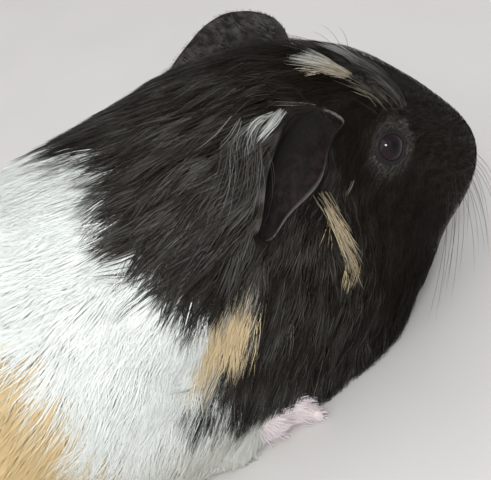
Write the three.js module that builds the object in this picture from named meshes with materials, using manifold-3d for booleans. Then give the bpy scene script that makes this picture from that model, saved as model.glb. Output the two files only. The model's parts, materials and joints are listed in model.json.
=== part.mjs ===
// Life-size still model of an adult guinea pig, resting on its belly with its feet tucked in.
// Millimetres. +X points to the head, +Y to the animal's left and +Z up. The floor is z = 0.
// The surfaces are those of the coat's tips. The body is one loft along a spine that climbs to the
// nape and bends down to the nose. Thin cuts part it into trunk, neck and head, and the legs, ears
// and eyes are let into it with a small gap.
import * as THREE from "three";
import { mergeVertices } from "three/addons/utils/BufferGeometryUtils.js";
import Module from "manifold-3d";

const wasm = await Module();
wasm.setup();

const radians = THREE.MathUtils.degToRad;

// ---- driving dimensions ----
const GAP = 0.35; // clearance between neighbouring solids
const BODY_LENGTH = 262; // along the spine, from rump to nose tip
const SPINE_HEIGHT = 46; // height of the trunk's axis above the floor
const NECK_RISE = 41; // how far the spine climbs from the trunk's axis to the nape
const HEAD_PITCH = radians(25); // the head's axis slopes down from the trunk's by this
const HEAD_YAW = radians(2); // it turns to the animal's right by this
const HEAD_ROLL = radians(3); // and leans to that side by this
const NECK_START = 112; // the neck climbs and bends between these lengths along the spine
const NECK_END = 190;
const RUMP_CAP = 46; // length of the rump's rounding
const NOSE_CAP = 9; // length of the nose's rounding
const RING_POINTS = 32;
const SPINE_STEP = 0.5; // step used to add up the spine's curve
const UPPER_SQUARE = 0.92; // how square the sections are above the axis (1 is an ellipse)

// The cuts between the nodes: a point that each passes through, and how far its top leans back.
const NECK_CUT = { x: 138, z: 50, lean: 0 };
const HEAD_CUT = { x: 179, z: 56, lean: radians(20) };

// Stations along the spine: half width, reach above and below the spine's axis, how far the part
// below leans forward for each millimetre of its depth, and how square that part is.
const STATIONS = [
  { at: 0, wide: 40, above: 34, below: 48, lean: 0, square: 0.8 },
  { at: 30, wide: 48, above: 43, below: 48, lean: 0, square: 0.8 },
  { at: 60, wide: 52, above: 50, below: 48, lean: 0, square: 0.8 },
  { at: 95, wide: 54, above: 51, below: 48, lean: 0, square: 0.8 },
  { at: 125, wide: 51, above: 44, below: 54, lean: 0.05, square: 0.75 },
  { at: 150, wide: 47, above: 32.5, below: 66, lean: 0.35, square: 0.7 },
  { at: 172, wide: 42.5, above: 27, below: 74, lean: 0.55, square: 0.7 },
  { at: 190, wide: 38, above: 30, below: 64, lean: 0.7, square: 0.7 },
  { at: 206, wide: 33, above: 33, below: 48, lean: 0.82, square: 0.75 },
  { at: 220, wide: 28, above: 31.5, below: 37, lean: 0.84, square: 0.8 },
  { at: 232, wide: 23.4, above: 26.5, below: 31.5, lean: 0.68, square: 0.85 },
  { at: 243, wide: 19.6, above: 20, below: 27.5, lean: 0.38, square: 0.9 },
  { at: 253, wide: 16, above: 13, below: 22.5, lean: 0.06, square: 0.9 },
  { at: 262, wide: 12, above: 8.5, below: 15.5, lean: -0.1, square: 0.9 },
];

// Swellings of the loft: where along the spine, at which angle round it (0 is the side, 90 the top),
// how far each reaches, and by how many millimetres it stands out.
const SWELLINGS = [
  { name: "haunch", at: 56, angle: 10, long: 30, round: 30, out: 2.5 },
  { name: "shoulder", at: 136, angle: -5, long: 22, round: 30, out: 3 },
  { name: "jowl", at: 208, angle: -30, long: 14, round: 30, out: 2.4 },
  { name: "brow", at: 223, angle: 48, long: 8, round: 16, out: 1.6 },
  { name: "temple_hollow", at: 212, angle: 20, long: 9, round: 16, out: -1.6 },
  { name: "whisker_pad", at: 252, angle: -12, long: 7, round: 34, out: 1.5 },
  { name: "cheek_hollow", at: 238, angle: -5, long: 7, round: 26, out: -0.8 },
];

// ---- the spine and the sections along it ----
const smooth = (t) => {
  const c = THREE.MathUtils.clamp(t, 0, 1);
  return c * c * (3 - 2 * c);
};

// How far the neck has bent at a length along the spine, from 0 to 1.
const bendAt = (at) => smooth((at - NECK_START) / (NECK_END - NECK_START));

// The turn that lays the section's own axes (+X forward, +Z up) along the spine.
function turnAt(at) {
  const bend = bendAt(at);
  return new THREE.Quaternion().setFromEuler(
    new THREE.Euler(HEAD_ROLL * bend, HEAD_PITCH * bend, -HEAD_YAW * bend, "ZYX"),
  );
}

const SPINE = [new THREE.Vector3(0, 0, SPINE_HEIGHT)];
for (let at = 0; at < BODY_LENGTH; at += SPINE_STEP) {
  const step = new THREE.Vector3(SPINE_STEP, 0, 0).applyQuaternion(turnAt(at + SPINE_STEP / 2));
  SPINE.push(SPINE[SPINE.length - 1].clone().add(step));
}

function spineAt(at) {
  const place = THREE.MathUtils.clamp(at / SPINE_STEP, 0, SPINE.length - 1.001);
  const low = Math.floor(place);
  const point = SPINE[low].clone().lerp(SPINE[low + 1], place - low);
  point.z += NECK_RISE * bendAt(at);
  return point;
}

// A point given in the section's own axes at a length along the spine.
const fromSpine = (at, forward, left, up) =>
  new THREE.Vector3(forward, left, up).applyQuaternion(turnAt(at)).add(spineAt(at));

// One column of the stations, joined by a smooth cubic.
function stationValue(at, column) {
  let i = 0;
  while (i < STATIONS.length - 2 && at > STATIONS[i + 1].at) i++;
  const [a, b] = [STATIONS[i], STATIONS[i + 1]];
  const before = STATIONS[Math.max(i - 1, 0)];
  const after = STATIONS[Math.min(i + 2, STATIONS.length - 1)];
  const span = b.at - a.at;
  const slopeA = ((b[column] - before[column]) / (b.at - before.at)) * span;
  const slopeB = ((after[column] - a[column]) / (after.at - a.at)) * span;
  const t = (at - a.at) / span;
  return (
    (2 * t ** 3 - 3 * t ** 2 + 1) * a[column] +
    (t ** 3 - 2 * t ** 2 + t) * slopeA +
    (3 * t ** 2 - 2 * t ** 3) * b[column] +
    (t ** 3 - t ** 2) * slopeB
  );
}

// The rounding of the two ends, from 0 at the tip to 1 where the cap begins.
function capAt(at) {
  const fromRump = THREE.MathUtils.clamp(at / RUMP_CAP, 0, 1);
  const fromNose = THREE.MathUtils.clamp((BODY_LENGTH - at) / NOSE_CAP, 0, 1);
  return Math.sqrt(1 - (1 - fromRump) ** 2) * Math.sqrt(1 - (1 - fromNose) ** 2);
}

// The angle is folded so that both flanks are alike: 0 at the side, 90 at the top, -90 underneath.
function swellingAt(at, angle) {
  const folded = THREE.MathUtils.radToDeg(Math.asin(Math.sin(angle)));
  return SWELLINGS.reduce((sum, s) => {
    const along = (at - s.at) / s.long;
    const around = (folded - s.angle) / s.round;
    return sum + s.out * Math.exp(-along * along - around * around);
  }, 0);
}

// Raised to a power below 1, a sine or cosine draws a squarer ellipse.
const squared = (value, power) => Math.sign(value) * Math.abs(value) ** power;

// The closed section at a length along the spine, grown outwards by a distance.
function section(at, grow) {
  const cap = capAt(at);
  const wide = stationValue(at, "wide") * cap;
  const above = stationValue(at, "above") * cap;
  const below = stationValue(at, "below") * cap;
  return Array.from({ length: RING_POINTS }, (_, i) => {
    const angle = (2 * Math.PI * i) / RING_POINTS;
    const [across, upright] = [Math.cos(angle), Math.sin(angle)];
    const power = upright > 0 ? UPPER_SQUARE : stationValue(at, "square");
    const out = swellingAt(at, angle) * cap + grow;
    const left = wide * squared(across, power) + out * across;
    const up = (upright > 0 ? above : below) * squared(upright, power) + out * upright;
    const point = fromSpine(at, -stationValue(at, "lean") * Math.min(up, 0), left, up);
    point.z = Math.max(point.z, -grow);
    return point;
  });
}

// ---- closed meshes and solids ----
function geometryOf(points, triangles) {
  const positions = new Float32Array(points.flatMap((p) => [p.x, p.y, p.z]));
  const geometry = new THREE.BufferGeometry();
  geometry.setAttribute("position", new THREE.BufferAttribute(positions, 3));
  geometry.setIndex(triangles);
  return geometry;
}

// A closed skin over rings of equal count, between two end points. The rings run along +X.
function loft(rings, first, last) {
  const count = rings[0].length;
  const points = [first, ...rings.flat(), last];
  const triangles = [];
  const index = (ring, i) => 1 + ring * count + (i % count);
  for (let i = 0; i < count; i++) {
    triangles.push(0, index(0, i + 1), index(0, i));
    triangles.push(points.length - 1, index(rings.length - 1, i), index(rings.length - 1, i + 1));
    for (let ring = 0; ring < rings.length - 1; ring++) {
      const [a, b] = [index(ring, i), index(ring, i + 1)];
      const [c, d] = [index(ring + 1, i), index(ring + 1, i + 1)];
      triangles.push(a, b, c, b, d, c);
    }
  }
  return geometryOf(points, triangles);
}

function solid(geometry) {
  const bare = new THREE.BufferGeometry();
  bare.setAttribute("position", geometry.getAttribute("position"));
  bare.setIndex(geometry.index);
  const merged = mergeVertices(bare, 1e-4);
  return new wasm.Manifold(
    new wasm.Mesh({
      numProp: 3,
      vertProperties: merged.attributes.position.array,
      triVerts: new Uint32Array(merged.index.array),
    }),
  );
}

function backToGeometry(made) {
  const mesh = made.getMesh();
  const geometry = new THREE.BufferGeometry();
  const positions = new Float32Array(mesh.numVert * 3);
  for (let i = 0; i < mesh.numVert; i++)
    positions.set(mesh.vertProperties.subarray(i * mesh.numProp, i * mesh.numProp + 3), i * 3);
  geometry.setAttribute("position", new THREE.BufferAttribute(positions, 3));
  geometry.setIndex(new THREE.BufferAttribute(mesh.triVerts, 1));
  return geometry;
}

// The largest connected piece, without the slivers that a cut may leave.
const largest = (made) => made.decompose().sort((a, b) => b.volume() - a.volume())[0];

// A ball stretched to three half sizes, turned and put in place.
function ellipsoid(halfX, halfY, halfZ, place, turn, sides) {
  const geometry = new THREE.SphereGeometry(1, sides, Math.round(sides * 0.6));
  geometry.rotateX(Math.PI / 2);
  geometry.scale(halfX, halfY, halfZ);
  geometry.applyQuaternion(new THREE.Quaternion().setFromEuler(turn));
  geometry.translate(place.x, place.y, place.z);
  return solid(geometry);
}

// A tapering round limb between two points, with rounded ends.
function limb(from, to, radiusFrom, radiusTo, sides, rings) {
  const along = to.clone().sub(from);
  const profile = [];
  for (let i = 0; i <= rings; i++) {
    const angle = -Math.PI / 2 + (Math.PI / 2) * (i / rings);
    profile.push(new THREE.Vector2(radiusFrom * Math.cos(angle), radiusFrom * Math.sin(angle)));
  }
  for (let i = 0; i <= rings; i++) {
    const angle = (Math.PI / 2) * (i / rings);
    profile.push(
      new THREE.Vector2(radiusTo * Math.cos(angle), along.length() + radiusTo * Math.sin(angle)),
    );
  }
  profile[0].x = 0;
  profile[profile.length - 1].x = 0;
  const geometry = new THREE.LatheGeometry(profile, sides);
  const up = new THREE.Vector3(0, 1, 0);
  geometry.applyQuaternion(new THREE.Quaternion().setFromUnitVectors(up, along.normalize()));
  geometry.translate(from.x, from.y, from.z);
  return solid(geometry);
}

// ---- the cuts ----
const FAR = 400; // larger than the animal

// All that lies on one side of a cut (1 is ahead of it, -1 behind it), half a gap away from it.
function besideCut(cut, side) {
  const geometry = new THREE.BoxGeometry(FAR, FAR * 2, FAR * 2);
  geometry.translate(side * (FAR / 2 + GAP / 2), 0, 0);
  geometry.rotateY(-cut.lean);
  geometry.translate(cut.x, 0, cut.z);
  return solid(geometry);
}

function underFloor() {
  const geometry = new THREE.BoxGeometry(FAR * 2, FAR * 2, FAR);
  geometry.translate(0, 0, -FAR / 2);
  return solid(geometry);
}

// ---- the body ----
// Stations for the loft's rings: close together at the ends and on the face.
function ringStations() {
  const [rumpRings, noseRings] = [8, 5];
  const [trunkStep, faceStep, faceStart] = [10, 5, 190];
  const stations = [];
  for (let i = 1; i <= rumpRings; i++)
    stations.push(RUMP_CAP * (1 - Math.cos((Math.PI / 2) * (i / rumpRings))));
  for (let at = RUMP_CAP + trunkStep; at < faceStart; at += trunkStep) stations.push(at);
  for (let at = faceStart; at < BODY_LENGTH - NOSE_CAP - 1; at += faceStep) stations.push(at);
  for (let i = 0; i < noseRings; i++)
    stations.push(BODY_LENGTH - NOSE_CAP + NOSE_CAP * Math.sin((Math.PI / 2) * (i / noseRings)));
  return stations;
}

function bodySolid(grow) {
  const rings = ringStations().map((at) => section(at, grow));
  const rump = fromSpine(0, -grow, 0, 0);
  const nose = fromSpine(BODY_LENGTH, grow, 0, 0);
  return solid(loft(rings, rump, nose));
}

// ---- legs ----
const FOREFOOT = { toes: 4, length: 15, wide: 9.5, high: 7, toeLength: 8, toeRadius: 1.9 };
const HINDFOOT = { toes: 3, length: 34, wide: 11, high: 8.5, toeLength: 12, toeRadius: 2.4 };
const CLAW = { length: 4.5, root: 1.0, tip: 0.5, height: 0.75 };
const TOES = {
  start: 0.88, // the roots, as a share of the foot's length
  spread: 0.72, // the outer roots' distance, as a share of the foot's width
  fan: 0.9, // angle between the outer toes, in radians
  shorter: 0.5, // how much of its length the outermost toe would lose at a full spread
  rootHeight: 1.35, // heights and thicknesses below are shares of the toe's radius
  tipHeight: 0.8,
  rootThick: 1.15,
  tipThick: 0.85,
};
const FORELEG = {
  elbow: new THREE.Vector3(130, 32, 20),
  wrist: new THREE.Vector3(147, 33, 8),
  elbowRadius: 13,
  wristRadius: 7,
  toesIn: radians(4),
};
const THIGH = {
  centre: new THREE.Vector3(52, 42, 25),
  long: 31,
  thick: 14,
  high: 27,
  rise: 0.35, // the knee stands higher than the hip by this turn
  splay: 0.1,
};
const HEEL = new THREE.Vector3(44, 40, 0);
const HINDFOOT_TOES_OUT = radians(6);

// A place on the animal's left, or its mirror image on the right when side is -1.
const sided = (place, side) => new THREE.Vector3(place.x, place.y * side, place.z);

// A foot flat on the floor, with its heel at a place and its toes fanned round a heading.
function foot(shape, heel, heading, grow) {
  const forward = new THREE.Vector3(Math.cos(heading), Math.sin(heading), 0);
  const across = new THREE.Vector3(-forward.y, forward.x, 0);
  const middle = heel.clone().addScaledVector(forward, shape.length / 2);
  middle.z = shape.high * 0.42;
  let made = ellipsoid(
    shape.length * 0.62 + grow,
    shape.wide / 2 + grow,
    shape.high * 0.58 + grow,
    middle,
    new THREE.Euler(0, 0, heading),
    12,
  );
  const thick = shape.toeRadius * TOES.rootThick + grow;
  const thin = shape.toeRadius * TOES.tipThick + grow;
  for (let i = 0; i < shape.toes; i++) {
    const fan = i / (shape.toes - 1) - 0.5;
    const root = heel
      .clone()
      .addScaledVector(forward, shape.length * TOES.start)
      .addScaledVector(across, fan * shape.wide * TOES.spread);
    root.z = shape.toeRadius * TOES.rootHeight;
    const reach = shape.toeLength * (1 - TOES.shorter * fan * fan);
    const tip = root
      .clone()
      .addScaledVector(forward, reach * Math.cos(fan * TOES.fan))
      .addScaledVector(across, reach * Math.sin(fan * TOES.fan));
    tip.z = shape.toeRadius * TOES.tipHeight;
    made = made.add(limb(root, tip, thick, thin, 6, 1));
    const clawTip = tip.clone().addScaledVector(tip.clone().sub(root).normalize(), CLAW.length);
    clawTip.z = CLAW.height;
    made = made.add(limb(tip, clawTip, CLAW.root + grow, CLAW.tip + grow, 4, 1));
  }
  return made;
}

function forelegSolid(side, grow) {
  const wrist = sided(FORELEG.wrist, side);
  const upper = limb(
    sided(FORELEG.elbow, side),
    wrist,
    FORELEG.elbowRadius + grow,
    FORELEG.wristRadius + grow,
    12,
    3,
  );
  return upper.add(foot(FOREFOOT, wrist.clone().setZ(0), -side * FORELEG.toesIn, grow));
}

function hindlegSolid(side, grow) {
  const thigh = ellipsoid(
    THIGH.long + grow,
    THIGH.thick + grow,
    THIGH.high + grow,
    sided(THIGH.centre, side),
    new THREE.Euler(0, -THIGH.rise, -side * THIGH.splay),
    16,
  );
  return thigh.add(foot(HINDFOOT, sided(HEEL, side), side * HINDFOOT_TOES_OUT, grow));
}

// ---- eyes and ears, placed in the head's own axes ----
const EYE = { at: 222, left: 20.2, up: 14, radius: 5.2 };

const eyeSolid = (side, grow) =>
  ellipsoid(
    EYE.radius + grow,
    EYE.radius + grow,
    EYE.radius + grow,
    fromSpine(EYE.at, 0, side * EYE.left, EYE.up),
    new THREE.Euler(Math.PI / 2, 0, 0),
    14,
  );

const EAR = { thick: 2.2, square: 0.8, cup: 0.1 }; // square is 1 for an ellipse; cup is a share of the width

// Each ear's base lies at a length along the spine, its slope runs down towards the rear and its
// flare outwards. It is wide from corner to corner, but shorter ahead of its middle, and long from
// base to free edge. There it turns down from level by its droop and bends over by its curl; trail
// is how much further the rear corner reaches. The free edge is narrowed and drawn back by shares
// of the width, and waves up and down by its ripple, the wave turning from the middle to a corner.
const EAR_POSE = {
  left: {
    at: 196, left: 21.3, up: 7.6, wide: 40, short: 0, long: 30, slope: radians(23.2), flare: radians(2),
    droop: radians(-30), curl: 0.15, trail: -0.22, narrowing: 0.07, back: 0.05,
    ripple: 0.7, waves: 4.2, phase: 0.6,
  },
  right: {
    at: 192.4, left: 21.9, up: 19.2, wide: 42.6, short: 0.55, long: 18.3, slope: radians(64.7),
    flare: radians(16.6), droop: radians(-84.5), curl: 2.37, trail: -0.25, narrowing: -0.23, back: 0,
    ripple: 4.75, waves: 3.61, phase: 2.5,
  },
};

// An ear's petal of skin: a flattened ball whose outline is drawn out at its rear corner, bent over
// along its length. Its own axes are +X along the base to the front, +Y from the base to the free
// edge and +Z out of the ear's back.
function petal(pose) {
  const geometry = new THREE.SphereGeometry(1, 32, 10);
  geometry.rotateX(Math.PI / 2);
  const position = geometry.getAttribute("position");
  const p = new THREE.Vector3();
  const radius = pose.long / pose.curl;
  for (let i = 0; i < position.count; i++) {
    p.fromBufferAttribute(position, i);
    const across = p.x;
    const out = (squared(p.y, EAR.square) + 1) / 2; // 0 at the base, 1 at the free edge
    const bend = (pose.long * out * (1 - pose.trail * across)) / radius;
    const wave = pose.ripple * Math.sin(across * pose.waves + pose.phase) * out * out;
    const lift = p.z * (EAR.thick / 2) + wave;
    const cup = -EAR.cup * pose.wide * across * across * out;
    const along = across - (pose.short * (1 + across) ** 2) / 4;
    p.set(
      (pose.wide / 2) * (along * (1.06 - pose.narrowing * out) - pose.back * out),
      (radius + lift) * Math.sin(bend),
      (radius + lift) * Math.cos(bend) - radius + cup,
    );
    position.setXYZ(i, p.x, p.y, p.z);
  }
  return geometry;
}

function earSolid(side, pose) {
  const geometry = petal(pose);
  const front = new THREE.Vector3(Math.cos(pose.slope), -Math.tan(pose.flare), Math.sin(pose.slope));
  front.normalize();
  const level = new THREE.Vector3(0, Math.cos(pose.droop), -Math.sin(pose.droop));
  const lift = new THREE.Vector3().crossVectors(front, level).normalize();
  const out = new THREE.Vector3().crossVectors(lift, front);
  geometry.applyMatrix4(new THREE.Matrix4().makeBasis(front, out, lift));
  geometry.translate(0, pose.left, pose.up);
  if (side < 0) {
    geometry.scale(1, -1, 1);
    geometry.index.array.reverse(); // a mirrored mesh has to be turned outside in
  }
  geometry.applyQuaternion(turnAt(pose.at));
  const place = spineAt(pose.at);
  geometry.translate(place.x, place.y, place.z);
  return solid(geometry);
}

// ---- finishes ----
const COAT_BLACK = new THREE.MeshStandardMaterial({ color: 0x1d1a19, roughness: 0.75 });
const COAT_WHITE = new THREE.MeshStandardMaterial({ color: 0xe9e7e0, roughness: 0.85 });
const COAT_TAN = new THREE.MeshStandardMaterial({ color: 0xc9a57c, roughness: 0.85 });
const PALE_FOOT = new THREE.MeshStandardMaterial({ color: 0xd9c4bf, roughness: 0.8 });
const EAR_SKIN = new THREE.MeshStandardMaterial({ color: 0x35292b, roughness: 0.6 });
const EYE_GLOSS = new THREE.MeshStandardMaterial({ color: 0x120b0d, roughness: 0.08 });

// ---- the animal ----
function build() {
  const animal = new THREE.Group();
  const add = (name, made, material) => {
    const mesh = new THREE.Mesh(backToGeometry(largest(made)), material);
    mesh.name = name;
    animal.add(mesh);
  };
  const floor = underFloor();
  const body = bodySolid(0);
  const bodyGrown = bodySolid(GAP);
  let rooms = eyeSolid(1, GAP).add(eyeSolid(-1, GAP));

  for (const [word, side] of Object.entries({ left: 1, right: -1 })) {
    rooms = rooms.add(forelegSolid(side, GAP)).add(hindlegSolid(side, GAP));
    add(`foreleg_${word}`, forelegSolid(side, 0).subtract(floor), PALE_FOOT);
    add(`hindleg_${word}`, hindlegSolid(side, 0).subtract(floor), COAT_TAN);
    add(`eye_${word}`, eyeSolid(side, 0), EYE_GLOSS);
    add(`ear_${word}`, earSolid(side, EAR_POSE[word]).subtract(bodyGrown), EAR_SKIN);
  }
  const flesh = body.subtract(rooms);
  add("trunk", flesh.intersect(besideCut(NECK_CUT, -1)), COAT_WHITE);
  const ahead = flesh.intersect(besideCut(NECK_CUT, 1));
  add("neck", ahead.intersect(besideCut(HEAD_CUT, -1)), COAT_BLACK);
  add("head", ahead.intersect(besideCut(HEAD_CUT, 1)), COAT_BLACK);

  // The origin is the middle of the underside of the animal's box.
  const box = new THREE.Box3().setFromObject(animal);
  const middle = box.getCenter(new THREE.Vector3());
  animal.position.set(-middle.x, -middle.y, -box.min.z);
  return animal;
}

export default build();
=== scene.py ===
"""A life-size still guinea pig at rest: one skin, a coat of solid locks, ears, eyes, claws and whiskers.

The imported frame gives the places. Its two eyes set the head's own axes, and its solids of head, neck, trunk
and legs are the surface of the coat's tips. The skin lies inside that surface by the coat's depth, and the
coat grows on the skin in thin tapered strands that follow the lie of the hair.

Sizes are in millimetres, and mesh_piece turns them into the frame's metres. In the row's frame +X points to
the head, +Y to the animal's left and +Z up. In the head's own frame the three numbers are forward, left and
up, from the point midway between the eyes.
"""

from __future__ import annotations

import json
import logging
import math
from dataclasses import dataclass
from enum import Enum, IntEnum

import bmesh
import bpy
import numpy as np
from mathutils import Matrix, Vector
from mathutils.bvhtree import BVHTree
from mathutils.kdtree import KDTree

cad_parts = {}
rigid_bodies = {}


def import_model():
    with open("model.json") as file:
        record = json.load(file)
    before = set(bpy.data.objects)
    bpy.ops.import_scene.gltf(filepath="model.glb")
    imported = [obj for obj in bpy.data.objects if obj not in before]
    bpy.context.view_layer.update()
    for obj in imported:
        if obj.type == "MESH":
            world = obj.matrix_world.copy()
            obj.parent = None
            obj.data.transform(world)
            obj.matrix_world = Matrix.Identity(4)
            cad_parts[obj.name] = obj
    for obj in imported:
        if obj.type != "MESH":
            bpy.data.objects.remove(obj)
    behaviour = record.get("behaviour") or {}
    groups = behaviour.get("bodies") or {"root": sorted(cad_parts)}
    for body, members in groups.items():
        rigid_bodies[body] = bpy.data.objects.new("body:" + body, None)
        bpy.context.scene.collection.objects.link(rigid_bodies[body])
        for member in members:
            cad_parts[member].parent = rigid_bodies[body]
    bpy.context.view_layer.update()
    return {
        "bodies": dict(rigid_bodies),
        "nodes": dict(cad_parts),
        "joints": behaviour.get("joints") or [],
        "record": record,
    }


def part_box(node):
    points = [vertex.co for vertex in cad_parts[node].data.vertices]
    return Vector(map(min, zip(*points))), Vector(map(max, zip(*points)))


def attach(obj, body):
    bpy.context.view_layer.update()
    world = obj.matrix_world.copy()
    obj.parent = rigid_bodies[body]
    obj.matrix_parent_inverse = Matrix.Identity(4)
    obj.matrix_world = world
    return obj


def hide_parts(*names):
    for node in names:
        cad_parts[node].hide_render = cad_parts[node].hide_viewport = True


log = logging.getLogger("guinea_pig")

Pair = tuple[float, float]
Triple = tuple[float, float, float]

MM = 0.001
RIGHT, LEFT = -1, 1  # sign of Y on each side of the animal
AXIS_HEIGHT = 46.0  # of the body's long axis over the floor
HALF_LENGTH, HALF_WIDTH = 126.0, 50.0  # of the body round that axis


class Seed(IntEnum):
    """Where each piece's random draws start. Pieces in pairs add their side, and zones their number."""

    SKIN_TONES = 11
    WHISKERS = 31
    LIDS = 40
    LID_HAIRS = 50
    EARS = 60
    EAR_HAIRS = 70
    TUFTS = 77
    PAWS = 88
    PAW_HAIRS = 89
    ZONES = 100
    ZONE_TONES = 200


# ---- small helpers ----


def unit(vectors: np.ndarray) -> np.ndarray:
    """Returns the vectors along the last axis with length 1."""
    return vectors / np.maximum(np.linalg.norm(vectors, axis=-1, keepdims=True), 1e-9)


def ease(low: float, high: float, value: np.ndarray) -> np.ndarray:
    """Returns a smooth step from 0 at low to 1 at high."""
    t = np.clip((value - low) / (high - low), 0.0, 1.0)
    return t * t * (3 - 2 * t)


def ripple(points: np.ndarray, size: float, seed: int) -> np.ndarray:
    """Returns a smooth random field of about unit spread.

    Args:
        points: places to read it at, (count, 3).
        size: typical distance from crest to crest.
        seed: picks the field.

    Returns:
        The field's value at each place.
    """
    rng = np.random.default_rng(seed)
    count = 10
    turns = unit(rng.normal(size=(count, 3))) * rng.uniform(0.6, 1.7, (count, 1)) * 2 * math.pi / size
    phases = rng.uniform(0, 2 * math.pi, count)
    return np.sin(points @ turns.T + phases).sum(axis=1) / math.sqrt(count / 2)


def mesh_piece(name: str, points: np.ndarray, quads: np.ndarray, triangles: np.ndarray) -> bpy.types.Object:
    """Makes a smooth-shaded mesh object from arrays.

    Args:
        name: the piece's name.
        points: corners in millimetres, (count, 3).
        quads: corner numbers of the four-sided faces, (count, 4).
        triangles: corner numbers of the three-sided faces, (count, 3).

    Returns:
        The object, linked to the scene.
    """
    mesh = bpy.data.meshes.new(name)
    corners = np.concatenate([quads.ravel(), triangles.ravel()]).astype(np.int32)
    sides = np.concatenate([np.full(len(quads), 4), np.full(len(triangles), 3)])
    starts = np.concatenate([[0], np.cumsum(sides)[:-1]]).astype(np.int32)
    mesh.vertices.add(len(points))
    mesh.vertices.foreach_set("co", (points * MM).astype(np.float32).ravel())
    mesh.loops.add(len(corners))
    mesh.loops.foreach_set("vertex_index", corners)
    mesh.polygons.add(len(sides))
    mesh.polygons.foreach_set("loop_start", starts)
    mesh.update(calc_edges=True)
    mesh.shade_smooth()
    piece = bpy.data.objects.new(name, mesh)
    bpy.context.scene.collection.objects.link(piece)
    return piece


def grid_faces(rows: int, columns: int, closed: bool) -> np.ndarray:
    """Returns the quads between the points of a grid, row after row.

    Args:
        rows: number of rows of points.
        columns: number of points in a row.
        closed: whether a row's last point joins its first.

    Returns:
        Corner numbers, (faces, 4).
    """
    across = np.arange(columns if closed else columns - 1)
    down = np.arange(rows - 1)[:, None]
    after = (across + 1) % columns
    return np.stack(
        [down * columns + across, down * columns + after, (down + 1) * columns + after,
         (down + 1) * columns + across], axis=-1
    ).reshape(-1, 4)


def points_of(mesh: bpy.types.Mesh) -> np.ndarray:
    """Returns a mesh's corners in millimetres.

    Args:
        mesh: the mesh.

    Returns:
        The corners, (count, 3).
    """
    flat = np.empty(len(mesh.vertices) * 3, np.float32)
    mesh.vertices.foreach_get("co", flat)
    return flat.reshape(-1, 3).astype(float) / MM


def set_points(mesh: bpy.types.Mesh, points: np.ndarray) -> None:
    """Moves a mesh's corners to places given in millimetres."""
    mesh.vertices.foreach_set("co", (points * MM).astype(np.float32).ravel())
    mesh.update()


def normals_of(mesh: bpy.types.Mesh) -> np.ndarray:
    """Returns the normals at a mesh's corners.

    Args:
        mesh: the mesh.

    Returns:
        The normals, (count, 3).
    """
    flat = np.empty(len(mesh.vertices) * 3, np.float32)
    mesh.vertex_normals.foreach_get("vector", flat)
    return flat.reshape(-1, 3).astype(float)


def store_colour(mesh: bpy.types.Mesh, name: str, values: np.ndarray) -> None:
    """Stores four numbers for each corner under a name that materials can read."""
    layer = mesh.attributes.new(name, "FLOAT_COLOR", "POINT")
    layer.data.foreach_set("color", values.astype(np.float32).ravel())


def relaxed(mesh: bpy.types.Mesh, points: np.ndarray, rounds: int, share: np.ndarray | float) -> np.ndarray:
    """Returns the corners moved towards the mean of their neighbours.

    Args:
        mesh: gives the edges.
        points: the corners' places.
        rounds: how often.
        share: how far each corner goes in one round, from 0 to 1.

    Returns:
        The corners' new places.
    """
    ends = np.empty(len(mesh.edges) * 2, np.int32)
    mesh.edges.foreach_get("vertices", ends)
    a, b = ends.reshape(-1, 2).T
    count = len(points)
    around = np.maximum(np.bincount(a, minlength=count) + np.bincount(b, minlength=count), 1)
    for _ in range(rounds):
        mean = np.empty_like(points)
        for axis in range(3):
            sums = np.bincount(a, points[b, axis], count) + np.bincount(b, points[a, axis], count)
            mean[:, axis] = sums / around
        points = points + (mean - points) * share
    return points


def sided(name: str, side: int) -> str:
    """Returns a name with its side of the animal added."""
    return f"{name}_{'right' if side == RIGHT else 'left'}"


def fan(ring: np.ndarray, centre: int) -> np.ndarray:
    """Returns the triangles from a centre corner to a closed ring of corners."""
    return np.stack([np.full_like(ring, centre), np.roll(ring, -1), ring], axis=1)


def settled(
    piece: bpy.types.Object, finish: bpy.types.Material, slot: str, *replaced: str
) -> bpy.types.Object:
    """Gives a piece its finish and its body, and reports it.

    Args:
        piece: the mesh object.
        finish: its material.
        slot: the record's slot that it stands for; not used.
        replaced: the frame's nodes that it replaces.

    Returns:
        The piece.
    """
    piece.data.materials.append(finish)
    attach(piece, "root")
    if replaced:
        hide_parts(*replaced)
    log.info("%s: %d faces", piece.name, len(piece.data.polygons))
    return piece


# ---- the head's own axes ----


@dataclass(frozen=True)
class HeadAxes:
    """The head's own frame: forward along the head, to its left and up, from midway between the eyes."""

    origin: np.ndarray
    axes: np.ndarray  # rows are forward, left and up

    PITCH = math.radians(25)  # the head's line slopes down by this

    @classmethod
    def from_frame(cls) -> HeadAxes:
        """Finds the axes from the places of the frame's two eyes.

        Returns:
            The axes.
        """
        eyes = [np.mean(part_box(name), axis=0) / MM for name in ("eye_left", "eye_right")]
        left = unit(eyes[0] - eyes[1])
        forward = np.array([math.cos(cls.PITCH), 0.0, -math.sin(cls.PITCH)])
        forward = unit(forward - forward @ left * left)
        return cls((eyes[0] + eyes[1]) / 2, np.stack([forward, left, np.cross(forward, left)]))

    def place(self, local: np.ndarray) -> np.ndarray:
        """Returns places in the row's frame for places in the head's frame."""
        return self.origin + np.asarray(local, float) @ self.axes

    def turn(self, local: np.ndarray) -> np.ndarray:
        """Returns directions in the row's frame for directions in the head's frame."""
        return np.asarray(local, float) @ self.axes

    def local(self, points: np.ndarray) -> np.ndarray:
        """Returns places in the head's frame for places in the row's frame."""
        return (points - self.origin) @ self.axes.T


# ---- the groom: lie, length and depth of the coat ----


class On(Enum):
    """The frame that a place or direction is given in."""

    BODY = "row"
    HEAD = "head"


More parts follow.
